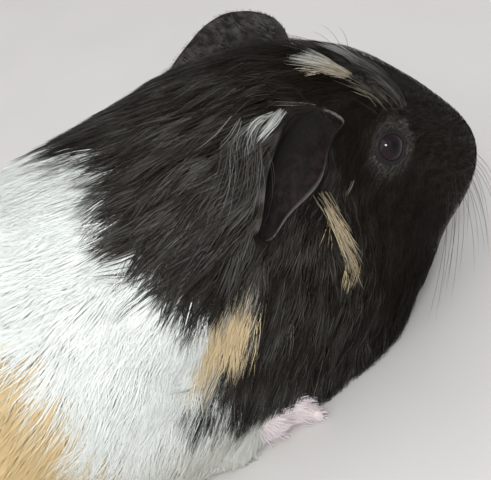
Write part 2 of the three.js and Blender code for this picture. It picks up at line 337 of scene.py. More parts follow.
@dataclass(frozen=True)
class Stroke:
    """How the coat lies at one place on the right side; the left side mirrors it.

    Attributes:
        name: the part of the body.
        on: frame of place and lie.
        place: forward, outward and up.
        lie: direction from root to tip, as forward, outward and up.
        length: of a strand.
        depth: from the skin to the coat's tips.
    """

    name: str
    on: On
    place: Triple
    lie: Triple
    length: float
    depth: float


STROKES = (
    Stroke("rump end", On.BODY, (-122, 8, 60), (-0.5, 0.1, -0.85), 18, 2.6),
    Stroke("rump top", On.BODY, (-85, 12, 88), (-1.0, 0.1, -0.15), 20, 2.8),
    Stroke("rump side", On.BODY, (-90, 45, 50), (-1.0, 0.0, -0.4), 21, 2.8),
    Stroke("rump low", On.BODY, (-85, 45, 14), (-0.75, 0.0, -0.6), 17, 2.6),
    Stroke("loin top", On.BODY, (-40, 12, 95), (-1.0, 0.0, 0.0), 21, 2.8),
    Stroke("saddle top", On.BODY, (0, 12, 93), (-1.0, 0.0, 0.0), 21, 2.8),
    Stroke("flank", On.BODY, (-35, 52, 55), (-1.0, 0.0, -0.45), 23, 3.0),
    Stroke("flank low", On.BODY, (-35, 52, 18), (-0.75, 0.0, -0.7), 20, 2.8),
    Stroke("shoulder back", On.BODY, (8, 50, 58), (-0.8, 0.0, -0.7), 23, 4.4),
    Stroke("elbow", On.BODY, (12, 48, 24), (-0.55, 0.0, -0.9), 20, 3.8),
    Stroke("nape", On.BODY, (40, 10, 93), (-1.0, 0.15, 0.0), 18, 4.5),
    Stroke("neck side", On.BODY, (42, 36, 76), (-0.9, 0.1, -0.5), 20, 5.0),
    Stroke("shoulder", On.BODY, (38, 44, 50), (-0.82, 0.0, -0.58), 20, 5.0),
    Stroke("chest side", On.BODY, (40, 38, 18), (-0.7, 0.0, -0.7), 18, 5.0),
    Stroke("chest", On.BODY, (66, 20, 16), (-0.4, 0.15, -0.9), 17, 5.0),
    Stroke("throat", On.BODY, (86, 12, 26), (-0.55, 0.2, -0.85), 14, 4.5),
    Stroke("jowl", On.HEAD, (-14, 33, -42), (-0.2, 0.0, -1.0), 14, 4.0),
    Stroke("cheek", On.HEAD, (-8, 33, -20), (0.0, 0.15, -1.0), 9, 2.8),
    Stroke("cheek streak", On.HEAD, (-15, 34, -17), (0.3, 0.1, -1.0), 9, 2.8),
    Stroke("cheek front", On.HEAD, (8, 22, -15), (-0.45, 0.2, -0.85), 5, 1.6),
    Stroke("jaw", On.HEAD, (16, 15, -34), (-0.6, 0.2, -0.75), 7, 2.2),
    Stroke("chin", On.HEAD, (28, 5, -32), (-0.9, 0.1, -0.4), 3.6, 1.2),
    Stroke("muzzle side", On.HEAD, (29, 14, -14), (-0.9, 0.3, -0.4), 2.4, 0.8),
    Stroke("nose", On.HEAD, (37, 4, -8), (-0.7, 0.2, 0.4), 1.6, 0.6),
    Stroke("nose bridge", On.HEAD, (22, 5, 5), (-1.0, 0.1, 0.3), 2.8, 0.9),
    Stroke("brow", On.HEAD, (6, 10, 14), (-0.95, 0.15, 0.25), 4.5, 1.4),
    Stroke("eye ring", On.HEAD, (2, 22, 1), (-0.9, 0.2, -0.35), 2.4, 0.8),
    Stroke("forehead", On.HEAD, (-10, 3, 19), (-1.0, 0.05, 0.1), 8, 2.4),
    Stroke("crown", On.HEAD, (-30, 6, 18), (-1.0, 0.1, 0.0), 12, 3.2),
    Stroke("before the ear", On.HEAD, (-14, 25, 6), (-0.35, 0.3, -0.9), 4, 1.4),
    Stroke("below the ear", On.HEAD, (-26, 34, -14), (-0.45, 0.1, -0.9), 10, 3.0),
    Stroke("behind the ear", On.HEAD, (-44, 28, 2), (-0.8, 0.25, -0.55), 15, 3.8),
)


@dataclass
class Groom:
    """Blends the strokes over the whole body."""

    head: HeadAxes
    strokes: tuple[Stroke, ...] = STROKES
    softness: float = 6.0  # within this distance of a stroke's place the blend hardly changes

    def __post_init__(self) -> None:
        """Lays the strokes out on both sides, in the row's frame."""
        places, lies = [], []
        for side in (RIGHT, LEFT):
            for stroke in self.strokes:
                place = np.array(stroke.place) * (1, side, 1)
                lie = np.array(stroke.lie) * (1, side, 1)
                on_head = stroke.on is On.HEAD
                places.append(self.head.place(place) if on_head else place)
                lies.append(self.head.turn(lie) if on_head else lie)
        self.places = np.array(places)
        self.lies = unit(np.array(lies))
        self.lengths = np.array([s.length for s in self.strokes] * 2)
        self.depths = np.array([s.depth for s in self.strokes] * 2)

    def shares(self, points: np.ndarray) -> np.ndarray:
        """Returns how much each stroke counts at each point, (points, strokes).

        Args:
            points: places in the row's frame.

        Returns:
            The shares, (points, strokes).
        """
        parts = []
        for chunk in np.array_split(points, max(1, len(points) // 20000)):
            apart = ((chunk[:, None] - self.places) ** 2).sum(axis=2)
            weight = 1 / (apart + self.softness**2) ** 2
            parts.append(weight / weight.sum(axis=1, keepdims=True))
        return np.concatenate(parts)

    def depth(self, points: np.ndarray) -> np.ndarray:
        """Returns the coat's depth at each point."""
        return self.shares(points) @ self.depths

    def length(self, points: np.ndarray) -> np.ndarray:
        """Returns the strands' length at each point."""
        return self.shares(points) @ self.lengths

    def lie(self, points: np.ndarray, normals: np.ndarray) -> np.ndarray:
        """Returns the direction in which the coat lies at each point, along the surface."""
        lie = self.shares(points) @ self.lies
        return unit(lie - (lie * normals).sum(axis=1, keepdims=True) * normals)


# ---- the markings ----


@dataclass(frozen=True)
class Streak:
    """A tapering streak of pale hair between two places of the head.

    Attributes:
        name: what it is.
        start: forward, left and up.
        end: the same, at the other end.
        radius: at the start and at the end.
        share: how many of the hairs inside it are pale.
        tan: from 0 for white to 1 for tan.
        pale: from 0 for black to 1 for fully pale.
    """

    name: str
    start: Triple
    end: Triple
    radius: Pair
    share: float
    tan: float
    pale: float = 1.0


STREAKS = (
    Streak("under the blaze", (-9, -11, 17), (-15, -7, 18), (1.4, 2.0), 0.7, 0.6),
    Streak("forehead sheen", (4, -13, 11), (-5, -4, 17), (3.0, 3.4), 0.4, 0.2, 0.06),
    Streak("near cheek", (-20.0, -33.5, -9), (-10.8, -34, -26), (1.2, 2.0), 0.6, 0.85, 0.7),
    Streak("far cheek", (-19, 33, -8), (-11, 34, -25), (1.3, 2.0), 0.7, 0.85, 0.8),
)


@dataclass
class Markings:
    """The animal's colours at the roots: black head and neck, white saddle, tan behind.

    colours() gives three numbers for each root: how pale (0 black, 1 pale), how tan the pale is, and a tone
    from 0 to 1 that varies from hair to hair and is raised on locks, mostly behind the head, as painted
    sheen.
    """

    head: HeadAxes
    border_low: float = 27.2  # X of the black's rear border near the floor, at the roots
    border_high: float = 27.5  # and on the back
    border_bulge: float = 6.0  # it reaches further forward by this at shoulder height
    tan_low: float = -2.0  # X of the white's rear border near the floor
    tan_high: float = -26.0  # and on the back
    chest_white: Pair = (37.5, 0.70)  # height of the white at X 20, and its fall with X
    patch_centre: Pair = (38.4, 57.5)  # X and Z of the buff patch on the right shoulder
    patch_half: Pair = (9.5, 6.0)
    patch_lean: float = math.radians(33)
    ring_radius: float = 9.0  # of the greyish ring round each eye
    ring_middle: Triple = (1.5, 21.0, 0.5)  # forward, outward and up
    ring_pale: float = 0.12
    # Painted sheen: a few black hairs are made a little paler, for strands that catch the light.
    sheen_hairs: float = 0.14  # share of hairs in the black that are a little paler
    sheen_hairs_span: Pair = (20.0, 80.0)  # X between which they grow

    def borders(self, points: np.ndarray) -> tuple[np.ndarray, np.ndarray]:
        """Returns how far each point lies ahead of the black's border and of the tan's border.

        Args:
            points: the roots.

        Returns:
            The two distances, positive ahead of a border.
        """
        x, y, z = points.T
        high = ease(15, 90, z)
        middle = np.exp(-(((z - 66) / 14) ** 2))
        black = self.border_low + (self.border_high - self.border_low) * high + self.border_bulge * middle
        black = black - 7 * ease(0, 30, y) + 2.0 * ripple(points, 26, 3) + 1.6 * ripple(points, 9, 4)
        tan = self.tan_low + (self.tan_high - self.tan_low) * ease(62, 90, z)
        tan = tan + 2.4 * ripple(points, 30, 5) + 1.2 * ripple(points, 10, 6)
        return x - black, x - tan

    def patch(self, points: np.ndarray) -> np.ndarray:
        """Returns a distance that is under 1 inside the shoulder patch of the right side.

        Args:
            points: the roots.

        Returns:
            The distance, as a share of the patch's half size.
        """
        x, y, z = points.T
        along, across = x - self.patch_centre[0], z - self.patch_centre[1]
        c, s = math.cos(self.patch_lean), math.sin(self.patch_lean)
        long, short = self.patch_half
        turned = np.hypot((along * c + across * s) / long, (across * c - along * s) / short)
        return turned + np.where(y < -20, 0.0, 9.0) + 0.08 * ripple(points, 6, 7)

    def colours(self, points: np.ndarray, seed: int) -> np.ndarray:
        """Returns paleness, tan and tone for each root, with 1 as the fourth number.

        Args:
            points: the roots.
            seed: picks each hair's own tone.

        Returns:
            Four numbers for each root, (count, 4).
        """
        rng = np.random.default_rng(seed)
        count = len(points)
        x, y, z = points.T
        ahead_black, ahead_tan = self.borders(points)
        pale = 1.0 - ease(-1.9, 1.9, ahead_black + rng.normal(0, 0.8, count)) ** 0.6
        tan = 1.0 - ease(-3.0, 3.0, ahead_tan + rng.normal(0, 2.0, count))
        tan = tan * (1 - 0.75 * ease(16, 4, z))
        chest_top = self.chest_white[0] - self.chest_white[1] * (x - 20) + 1.5 * ripple(points, 12, 8)
        on_chest = ease(-1.5, 1.5, chest_top - z + rng.normal(0, 0.7, count)) * ease(50, 42, x)
        pale = np.maximum(pale, on_chest)
        tan = np.maximum(tan, on_chest * 0.12)
        patch = ease(1.2, 0.84, self.patch(points) + rng.normal(0, 0.07, count))
        pale = np.maximum(pale, patch)
        tan = np.maximum(tan, patch * 0.9)
        # Painted sheen: hairs on the locks of a ripple field get a higher tone, which lightens black hair;
        # the random part is each hair's own tone, and both fade towards the snout.
        locks = ease(-0.4, 1.6, ripple(points, 7, 13)) * rng.uniform(0.4, 1.0, count)
        tone = (0.34 * rng.random(count) ** 2 + 0.92 * locks) * (0.10 + 0.90 * ease(94, 50, x))
        # Painted sheen: some black hairs on the neck are a little paler.
        rear, front = self.sheen_hairs_span
        sheen_haired = (rng.random(count) < self.sheen_hairs) & (x < front) & (x > rear)
        pale = np.maximum(pale, np.where(sheen_haired, rng.uniform(0.015, 0.06, count), 0.0))
        for streak in STREAKS:
            inside = self.inside(points, streak) & (rng.random(count) < streak.share)
            pale = np.where(inside, np.maximum(pale, streak.pale), pale)
            tan = np.where(inside, streak.tan + rng.normal(0, 0.1, count), tan)
        local = self.head.local(points)
        for side in (RIGHT, LEFT):
            apart = np.linalg.norm(local - np.array(self.ring_middle) * (1, side, 1), axis=1)
            ring = ease(self.ring_radius, self.ring_radius - 2.0, apart)
            pale = np.maximum(pale, ring * self.ring_pale * rng.random(count) ** 2)
            tan = np.where(ring > 0.5, 0.2, tan)
        return np.stack([pale, np.clip(tan, 0, 1), tone, np.ones(count)], axis=1)

    def inside(self, points: np.ndarray, streak: Streak) -> np.ndarray:
        """Returns which points lie inside a streak.

        Args:
            points: the roots.
            streak: the streak.

        Returns:
            Whether each root is inside.
        """
        start, end = self.head.place(streak.start), self.head.place(streak.end)
        along = np.clip((points - start) @ (end - start) / ((end - start) @ (end - start)), 0, 1)
        nearest = start + along[:, None] * (end - start)
        apart = np.linalg.norm(points - nearest, axis=1)
        radius = streak.radius[0] + (streak.radius[1] - streak.radius[0]) * along
        return apart + 0.5 * ripple(points, 5, 9) < radius * 1.25


# ---- finishes ----


class Recipe:
    """A node material being put together."""

    def __init__(self, name: str) -> None:
        """Starts an empty material.

        Args:
            name: the material's name.
        """
        self.material = bpy.data.materials.new(name)
        self.material.use_nodes = True
        self.tree = self.material.node_tree
        self.tree.nodes.clear()

    def add(self, kind: str, **inputs: object) -> bpy.types.Node:
        """Adds a node and sets its inputs by name, with spaces written as underscores.

        Args:
            kind: the node's type.
            inputs: values by input name.

        Returns:
            The node.
        """
        node = self.tree.nodes.new(kind)
        for name, value in inputs.items():
            self.feed(value, node.inputs[name.replace("_", " ")])
        return node

    def feed(self, value: object, target: bpy.types.NodeSocket) -> None:
        """Feeds an input.

        Args:
            value: a socket to link to it, a colour of three numbers, or a value as the input has it.
            target: the input.
        """
        if isinstance(value, bpy.types.NodeSocket):
            self.join(value, target)
        elif target.type == "RGBA":
            target.default_value = (*value, 1)
        else:
            target.default_value = value

    def join(self, output: bpy.types.NodeSocket, target: bpy.types.NodeSocket) -> None:
        """Links an output to an input."""
        self.tree.links.new(output, target)

    def read(self, name: str) -> bpy.types.Node:
        """Returns an attribute node for a colour stored on the mesh.

        Args:
            name: the attribute's name.

        Returns:
            The node.
        """
        node = self.tree.nodes.new("ShaderNodeAttribute")
        node.attribute_name = name
        return node

    def parts(self, colour: bpy.types.NodeSocket) -> bpy.types.Node:
        """Returns a node that splits a colour into its three numbers.

        Args:
            colour: the colour's socket.

        Returns:
            The node, with the three numbers as outputs.
        """
        node = self.tree.nodes.new("ShaderNodeSeparateColor")
        self.join(colour, node.inputs[0])
        return node

    def mix(self, share: bpy.types.NodeSocket, low: object, high: object) -> bpy.types.NodeSocket:
        """Mixes two colours, each a socket or three numbers, and returns the result.

        Args:
            share: how much of the second colour.
            low: the first colour.
            high: the second.

        Returns:
            The mixed colour.
        """
        node = self.tree.nodes.new("ShaderNodeMix")
        node.data_type = "RGBA"
        self.join(share, node.inputs[0])
        self.feed(low, node.inputs[6])
        self.feed(high, node.inputs[7])
        return node.outputs[2]

    def range(self, value: bpy.types.NodeSocket, source: tuple, target: tuple) -> bpy.types.NodeSocket:
        """Maps a number from one range to another, held within its ends.

        Args:
            value: the number's socket.
            source: ends of its range.
            target: ends of the new range.

        Returns:
            The mapped number.
        """
        node = self.tree.nodes.new("ShaderNodeMapRange")
        self.join(value, node.inputs[0])
        for socket, number in zip(node.inputs[1:5], (*source, *target)):
            socket.default_value = number
        return node.outputs[0]

    def math(self, kind: str, first: bpy.types.NodeSocket, second: object) -> bpy.types.NodeSocket:
        """Works out first kind second, where second is a socket or a number.

        Args:
            kind: the operation.
            first: a socket.
            second: a socket or a number.

        Returns:
            The result.
        """
        node = self.tree.nodes.new("ShaderNodeMath")
        node.operation = kind
        self.join(first, node.inputs[0])
        self.feed(second, node.inputs[1])
        return node.outputs[0]

    def noise(self, size: float, detail: float = 3.0, stretch: tuple = (1, 1, 1)) -> bpy.types.NodeSocket:
        """Returns a noise with crests about size millimetres apart, along each axis times stretch.

        Args:
            size: millimetres from crest to crest.
            detail: how much finer noise it holds.
            stretch: along each axis.

        Returns:
            The noise, about 0 to 1.
        """
        place = self.tree.nodes.new("ShaderNodeTexCoord")
        scale = tuple(1 / (size * MM * s) for s in stretch)
        mapping = self.add("ShaderNodeMapping", Vector=place.outputs["Object"], Scale=scale)
        return self.add("ShaderNodeTexNoise", Vector=mapping.outputs[0], Scale=1.0, Detail=detail).outputs[0]

    def bump(self, height: bpy.types.NodeSocket, depth: float, strength: float) -> bpy.types.NodeSocket:
        """Returns a normal bumped by a height of so many millimetres."""
        return self.add("ShaderNodeBump", Strength=strength, Distance=depth * MM, Height=height).outputs[0]

    def shaded(self, colour: object, value: bpy.types.NodeSocket) -> bpy.types.NodeSocket:
        """Returns a colour, a socket or three numbers, with its brightness multiplied by a value."""
        return self.add("ShaderNodeHueSaturation", Color=colour, Value=value).outputs[0]

    def finish(
        self, colour: object, normal: bpy.types.NodeSocket | None = None, **inputs: object
    ) -> bpy.types.Material:
        """Adds the surface shader and the output, and returns the material.

        Args:
            colour: a socket or three numbers.
            normal: a bumped normal.
            inputs: numbers for the shader's own inputs.

        Returns:
            The material.
        """
        shader = self.add("ShaderNodeBsdfPrincipled", Base_Color=colour, **inputs)
        if normal is not None:
            self.join(normal, shader.inputs["Normal"])
        output = self.tree.nodes.new("ShaderNodeOutputMaterial")
        self.join(shader.outputs[0], output.inputs[0])
        return self.material


@dataclass(frozen=True)
class CoatFinish:
    """Hair in black, white and tan, from the colours stored on each strand."""

    name: str = "coat"
    black: Triple = (0.0077, 0.0048, 0.0026)
    # lighter end of the black hair, for each hair's own tone and for painted sheen on the locks
    black_sheen_and_tone: Triple = (0.079, 0.075, 0.066)
    white: Triple = (0.92, 0.96, 0.915)
    tan: Triple = (0.76, 0.56, 0.28)
    roughness: float = 0.52
    gloss: float = 0.07
    glow: float = 0.16  # how much of the light passes through pale hair
    glow_tint: Triple = (1.0, 0.9, 0.8)
    glow_depth: float = 2.0

    def pigment(self, recipe: Recipe, name: str) -> tuple[bpy.types.NodeSocket, bpy.types.Node]:
        """Returns the hair's colour before shading, and the attribute that it comes from.

        Args:
            recipe: the material being made.
            name: the stored colour's name.

        Returns:
            The hair's colour, and the attribute's node.
        """
        stored = recipe.read(name)
        parts = recipe.parts(stored.outputs["Color"])
        dark = recipe.mix(parts.outputs[2], self.black, self.black_sheen_and_tone)
        pale = recipe.mix(parts.outputs[1], self.white, self.tan)
        return recipe.mix(parts.outputs[0], dark, pale), stored

    def make(self) -> bpy.types.Material:
        """Makes the material of the coat's strands.

        Returns:
            The material.
        """
        recipe = Recipe(self.name)
        colour, stored = self.pigment(recipe, "hair")
        parts = recipe.parts(stored.outputs["Color"])
        # The tone, partly each hair's own and partly painted sheen, makes every hair a little lighter or
        # darker.
        tone = recipe.range(parts.outputs[2], (0.0, 1.0), (0.93, 1.04))
        # Painted shade: each hair is up to a twentieth darker towards its root, where the hair above would
        # shade it.
        root = recipe.range(stored.outputs["Alpha"], (0.0, 0.6), (0.95, 1.0))
        shade = recipe.shaded(colour, recipe.math("MULTIPLY", tone, root))
        glow = recipe.math("MULTIPLY", parts.outputs[0], self.glow)
        return recipe.finish(
            shade, Roughness=self.roughness, Specular_IOR_Level=self.gloss, Subsurface_Weight=glow,
            Subsurface_Radius=self.glow_tint, Subsurface_Scale=self.glow_depth * MM,
        )


@dataclass(frozen=True)
class HideFinish:
    """The skin: hair colour between the roots, and bare skin where the coat leaves it open."""

    bare_dark: Triple = (0.0074, 0.0051, 0.0052)
    bare_pink: Triple = (0.72, 0.59, 0.58)
    roughness: float = 0.55

    def make(self, coat: CoatFinish) -> bpy.types.Material:
        """Makes the material, with the coat's own colours.

        Args:
            coat: gives the hair's colours.

        Returns:
            The material.
        """
        recipe = Recipe("hide")
        colour, _ = coat.pigment(recipe, "hair")
        fine = recipe.noise(0.5, 5.0)
        coarse = recipe.noise(3.0, 3.0)
        mottle = recipe.range(recipe.math("ADD", fine, coarse), (0.6, 1.4), (0.85, 1.0))
        bare = recipe.parts(recipe.read("bare").outputs["Color"])
        skin = recipe.mix(bare.outputs[1], self.bare_dark, self.bare_pink)
        skin = recipe.shaded(skin, recipe.range(coarse, (0.3, 0.7), (0.8, 1.2)))
        mixed = recipe.mix(bare.outputs[0], recipe.shaded(colour, mottle), skin)
        grain = recipe.bump(recipe.math("ADD", fine, recipe.noise(0.22, 2.0)), 0.14, 0.6)
        return recipe.finish(mixed, grain, Roughness=self.roughness, Specular_IOR_Level=0.25)


@dataclass(frozen=True)
class EarFinish:
    """Thin bare skin, dark brown, with a painted highlight along its rim and fine creases."""

    name: str = "ear_skin"
    skin: Triple = (0.0035, 0.0026, 0.0025)
    # patchy colour of the outer part: a reddish flush on the near ear, painted sheen on the far ear's lighter
    # copy
    bloom_and_sheen: Triple = (0.0165, 0.0098, 0.0092)
    # paler colour along the rim: a painted highlight
    rim: Triple = (0.13, 0.12, 0.11)
    roughness: float = 0.62

    def make(self) -> bpy.types.Material:
        """Makes the material. The mesh stores how near the rim, for its painted highlight, and how mottled
        each point is.

        Returns:
            The material.
        """
        recipe = Recipe(self.name)
        parts = recipe.parts(recipe.read("ear").outputs["Color"])
        mottle = recipe.noise(2.6, 5.0)
        patchy = recipe.math("MULTIPLY", recipe.range(mottle, (0.42, 0.68), (0.0, 1.0)), parts.outputs[1])
        base = recipe.mix(patchy, self.skin, self.bloom_and_sheen)
        # Painted highlight: the rim colour along the ear's edge.
        edged = recipe.mix(parts.outputs[0], base, self.rim)
        creases = recipe.math("ADD", recipe.noise(0.9, 4.0), recipe.noise(0.25, 2.0))
        return recipe.finish(
            edged, recipe.bump(creases, 0.22, 0.7), Roughness=self.roughness, Specular_IOR_Level=0.1,
        )


@dataclass(frozen=True)
class EyeFinish:
    """A wet eye: black pupil in a dark brown iris, under a clear front."""

    pupil: Triple = (0.003, 0.002, 0.003)
    iris: Triple = (0.0096, 0.0037, 0.006)
    white: Triple = (0.32, 0.24, 0.23)

    def make(self) -> bpy.types.Material:
        """Makes the material. The mesh stores the iris and the white at each point.

        Returns:
            The material.
        """
        recipe = Recipe("eye")
        parts = recipe.parts(recipe.read("eye").outputs["Color"])
        fibres = recipe.range(recipe.noise(0.35, 4.0), (0.35, 0.65), (0.7, 1.35))
        coloured = recipe.mix(parts.outputs[0], self.pupil, recipe.shaded(self.iris, fibres))
        whole = recipe.mix(parts.outputs[1], coloured, self.white)
        return recipe.finish(whole, Roughness=0.03, Specular_IOR_Level=0.2)


@dataclass(frozen=True)
class ClawFinish:
    """Grey-brown horn, paler towards the tip."""

    root: Triple = (0.23, 0.15, 0.11)
    tip: Triple = (0.55, 0.45, 0.35)

    def make(self) -> bpy.types.Material:
        """Makes the material. The mesh stores how near the tip each point is.

        Returns:
            The material.
        """
        recipe = Recipe("claw")
        parts = recipe.parts(recipe.read("claw").outputs["Color"])
        colour = recipe.mix(parts.outputs[0], self.root, self.tip)
        ridges = recipe.bump(recipe.noise(0.4, 3.0, (4, 1, 1)), 0.05, 0.5)
        return recipe.finish(colour, ridges, Roughness=0.3, Specular_IOR_Level=0.5)


@dataclass(frozen=True)
class WhiskerFinish:
    """Stiff hair, dark with a slight gloss."""

    colour: Triple = (0.02, 0.014, 0.011)

    def make(self) -> bpy.types.Material:
        """Makes the material.

        Returns:
            The material.
        """
        recipe = Recipe("whisker")
        tone = recipe.range(recipe.noise(9.0, 2.0), (0.3, 0.7), (0.7, 1.8))
        return recipe.finish(recipe.shaded(self.colour, tone), Roughness=0.3, Specular_IOR_Level=0.5)


# ---- the surface that hair grows from ----


@dataclass
class Surface:
    """Distance to the skin, kept on a grid so that many places are looked up at once."""

    points: np.ndarray
    faces: list
    cell: float = 2.5
    margin: float = 12.0

    def __post_init__(self) -> None:
        """Fills the grid."""
        self.tree = BVHTree.FromPolygons([Vector(p) for p in self.points], self.faces)
        self.low = self.points.min(axis=0) - self.margin
        shape = np.ceil((self.points.max(axis=0) + self.margin - self.low) / self.cell).astype(int) + 1
        far = np.zeros(shape)
        for i, j, k in np.ndindex(*shape):
            here = Vector(self.low + np.array((i, j, k)) * self.cell)
            place, normal, _, apart = self.tree.find_nearest(here)
            far[i, j, k] = math.copysign(apart, (here - place).dot(normal))
        slopes = np.gradient(far, self.cell)
        self.grid = np.stack([far, *slopes], axis=-1)
        self.shape = shape

    def at(self, points: np.ndarray) -> tuple[np.ndarray, np.ndarray]:
        """Returns the distance above the skin, and the direction away from it, at each point.

        Args:
            points: places, in any shape that ends in 3.

        Returns:
            The distances, and the unit directions.
        """
        place = np.clip((points - self.low) / self.cell, 0, self.shape - 1.001)
        corner = place.astype(int)
        share = (place - corner)[..., None, :]
        total = 0.0
        for offset in np.ndindex(2, 2, 2):
            index = corner + offset
            weight = np.prod(np.where(np.array(offset) == 1, share[..., 0, :], 1 - share[..., 0, :]), axis=-1)
            total = total + self.grid[index[..., 0], index[..., 1], index[..., 2]] * weight[..., None]
        return total[..., 0], unit(total[..., 1:])

    def laid_on(self, points: np.ndarray, height: np.ndarray | float) -> np.ndarray:
        """Returns the points moved to a height above the skin.

        Args:
            points: the places.
            height: above the skin, one or one for each.

        Returns:
            The moved places.
        """
        for _ in range(2):
            far, away = self.at(points)
            points = points + away * (height - far)[..., None]
        return points


# ---- the skin ----


@dataclass
class Eye:
    """One eye: the ball, and the directions its lids are built round."""

    head: HeadAxes
    side: int
    radius: float = 5.2
    out: float = 20.2  # from the head's middle
    looks: Triple = (0.14, 0.90, 0.41)  # forward, outward and up
    corner_turn: float = math.radians(-14)  # the front corner lies lower by this
    open_along: float = math.radians(48)  # half the opening, seen from the ball's middle
    open_across: float = math.radians(43)

    def __post_init__(self) -> None:
        """Works out the eye's middle and its own axes: along the opening, across it, and outward."""
        self.middle = self.head.place((0.0, self.side * self.out, 0.0))
        outward = unit(self.head.turn(np.array(self.looks) * (1, self.side, 1)))
        c, s = math.cos(self.corner_turn), math.sin(self.corner_turn)
        along = self.head.turn((c, 0.0, s))
        along = unit(along - along @ outward * outward)
        self.axes = np.stack([along, np.cross(outward, along), outward])

    def opening(self, turn: np.ndarray) -> np.ndarray:
        """Returns the half angle of the opening in each direction round the eye; it has two corners."""
        across = np.abs(np.sin(turn)) ** 1.25
        return self.open_along + (self.open_across - self.open_along) * across

    def towards(self, turn: np.ndarray, tilt: np.ndarray) -> np.ndarray:
        """Returns directions at a turn round the eye's line of sight and a tilt away from it."""
        local = np.stack([np.cos(turn) * np.sin(tilt), np.sin(turn) * np.sin(tilt), np.cos(tilt)], axis=-1)
        return local @ self.axes


@dataclass
class Lids:
    """The lids of one eye and the thinly haired ring round them, as a grid that runs out into the skin."""

    eye: Eye
    surface: Surface
    columns: int = 72
    reach: float = 9.5  # how far from the line of sight the grid ends
    outer_rows: int = 14  # rows beyond the rim
    rim: tuple[Pair, ...] = (
        (-0.02, -0.5), (-0.01, 0.12), (0.0, 0.38), (0.035, 0.56), (0.09, 0.66), (0.16, 0.6),
    )  # angle from the opening's edge, and height over the ball

    def points(self) -> np.ndarray:
        """Returns the rows of the grid, from inside the opening outwards, (rows, columns, 3).

        Returns:
            The grid's points.
        """
        eye = self.eye
        turn = np.linspace(0, 2 * math.pi, self.columns, endpoint=False)
        margin = eye.opening(turn)
        rows = []
        for tilt, height in self.rim:
            rows.append(eye.middle + eye.towards(turn, margin + tilt) * (eye.radius + height))
        edge = rows[-1]
        spread = edge - eye.middle
        flat = spread - (spread @ eye.axes[2])[:, None] * eye.axes[2]
        start = np.linalg.norm(flat, axis=1)
        outward = unit(flat)
        for step in np.linspace(0, 1, self.outer_rows + 1)[1:]:
            apart = start + (self.reach - start) * step
            free = edge + outward * (apart - start)[:, None]
            folds = 0.16 * np.sin(9.0 * step * 2 * math.pi / 3.0 + 0.5 * np.sin(3 * turn)) * (1 - step)
            laid = self.surface.laid_on(free, 0.12 * (1 - step) - 0.35 * step**6 + folds)
            share = ease(0.0, 0.55, np.array(step))
            rows.append(free * (1 - share) + laid * share)
        grid = np.stack(rows)
        outer = grid[len(self.rim) - 1:]
        for _ in range(2):  # a light smoothing round the ring softens the two corners
            outer[:] = 0.5 * outer + 0.25 * (np.roll(outer, 1, axis=1) + np.roll(outer, -1, axis=1))
        return grid


@dataclass
class Paw:
    """One paw, as balls joined along the palm and the toes, flat on the floor."""

    name: str
    heel: Pair  # X and outward distance
    side: int
    heading: float
    length: float
    wide: float
    high: float
    toes: int
    toe_length: float
    toe_radius: float
    claw_length: float

    def frame(self) -> tuple[np.ndarray, np.ndarray, np.ndarray]:
        """Returns the heel's place, and the directions forward and across.

        Returns:
            The heel's place, forward and across.
        """
        heel = np.array([self.heel[0], self.side * self.heel[1], 0.0])
        forward = np.array([math.cos(self.heading), math.sin(self.heading), 0.0])
        return heel, forward, np.array([-forward[1], forward[0], 0.0])

    def toe(self, index: int) -> np.ndarray:
        """Returns the four joints of a toe, from its root to its tip.

        Args:
            index: of the toe, from 0.

        Returns:
            The joints, (4, 3).
        """
        heel, forward, across = self.frame()
        spread = index / (self.toes - 1) - 0.5
        away = forward * math.cos(spread * 0.8) + across * math.sin(spread * 0.8)
        root = heel + forward * self.length * 0.84 + across * spread * self.wide * 0.74
        reach = self.toe_length * (1.0 - 0.7 * spread * spread)
        r = self.toe_radius
        heights = (r * 1.5, r * 1.75, r * 1.25, r * 0.92)
        return np.stack([root + away * reach * share + np.array([0, 0, z]) for share, z in
                         zip((0.0, 0.38, 0.74, 1.0), heights)])

    def balls(self) -> list[tuple[np.ndarray, float]]:
        """Returns the balls that make up the paw: place and radius.

        Returns:
            Pairs of place and radius.
        """
        heel, forward, across = self.frame()
        made = []
        for share in np.linspace(0.0, 0.92, 7):
            half = self.wide / 2 * (0.62 + 0.38 * share)
            radius = self.high * (0.5 - 0.12 * share)
            for lateral in (-1, -0.33, 0.33, 1):
                place = heel + forward * self.length * share + across * lateral * (half - radius * 0.75)
                made.append((place + np.array([0, 0, radius * 0.98]), radius))
        for index in range(self.toes):
            joints = self.toe(index)
            for a, b, thick in zip(joints[:-1], joints[1:], (1.12, 1.0, 0.95)):
                for share in (0.0, 0.5):
                    made.append((a + (b - a) * share, self.toe_radius * thick))
            made.append((joints[-1], self.toe_radius * 0.9))
            pad = joints[-1] - unit(joints[-1] - joints[-2]) * 0.8
            made.append((pad * (1, 1, 0) + np.array([0, 0, self.toe_radius * 0.62]), self.toe_radius * 0.8))
        return made


PAWS = tuple(
    paw
    for side in (RIGHT, LEFT)
    for paw in (
        Paw("fore", (33.6, 28.8), side, -side * math.radians(4), 9.5, 13.0, 15.0, 4, 6.4, 2.1, 2.2),
        Paw("hind", (-82.6, 40.0), side, side * math.radians(6), 34.5, 11.5, 8.0, 3, 11.5, 2.2, 4.8),
    )
)


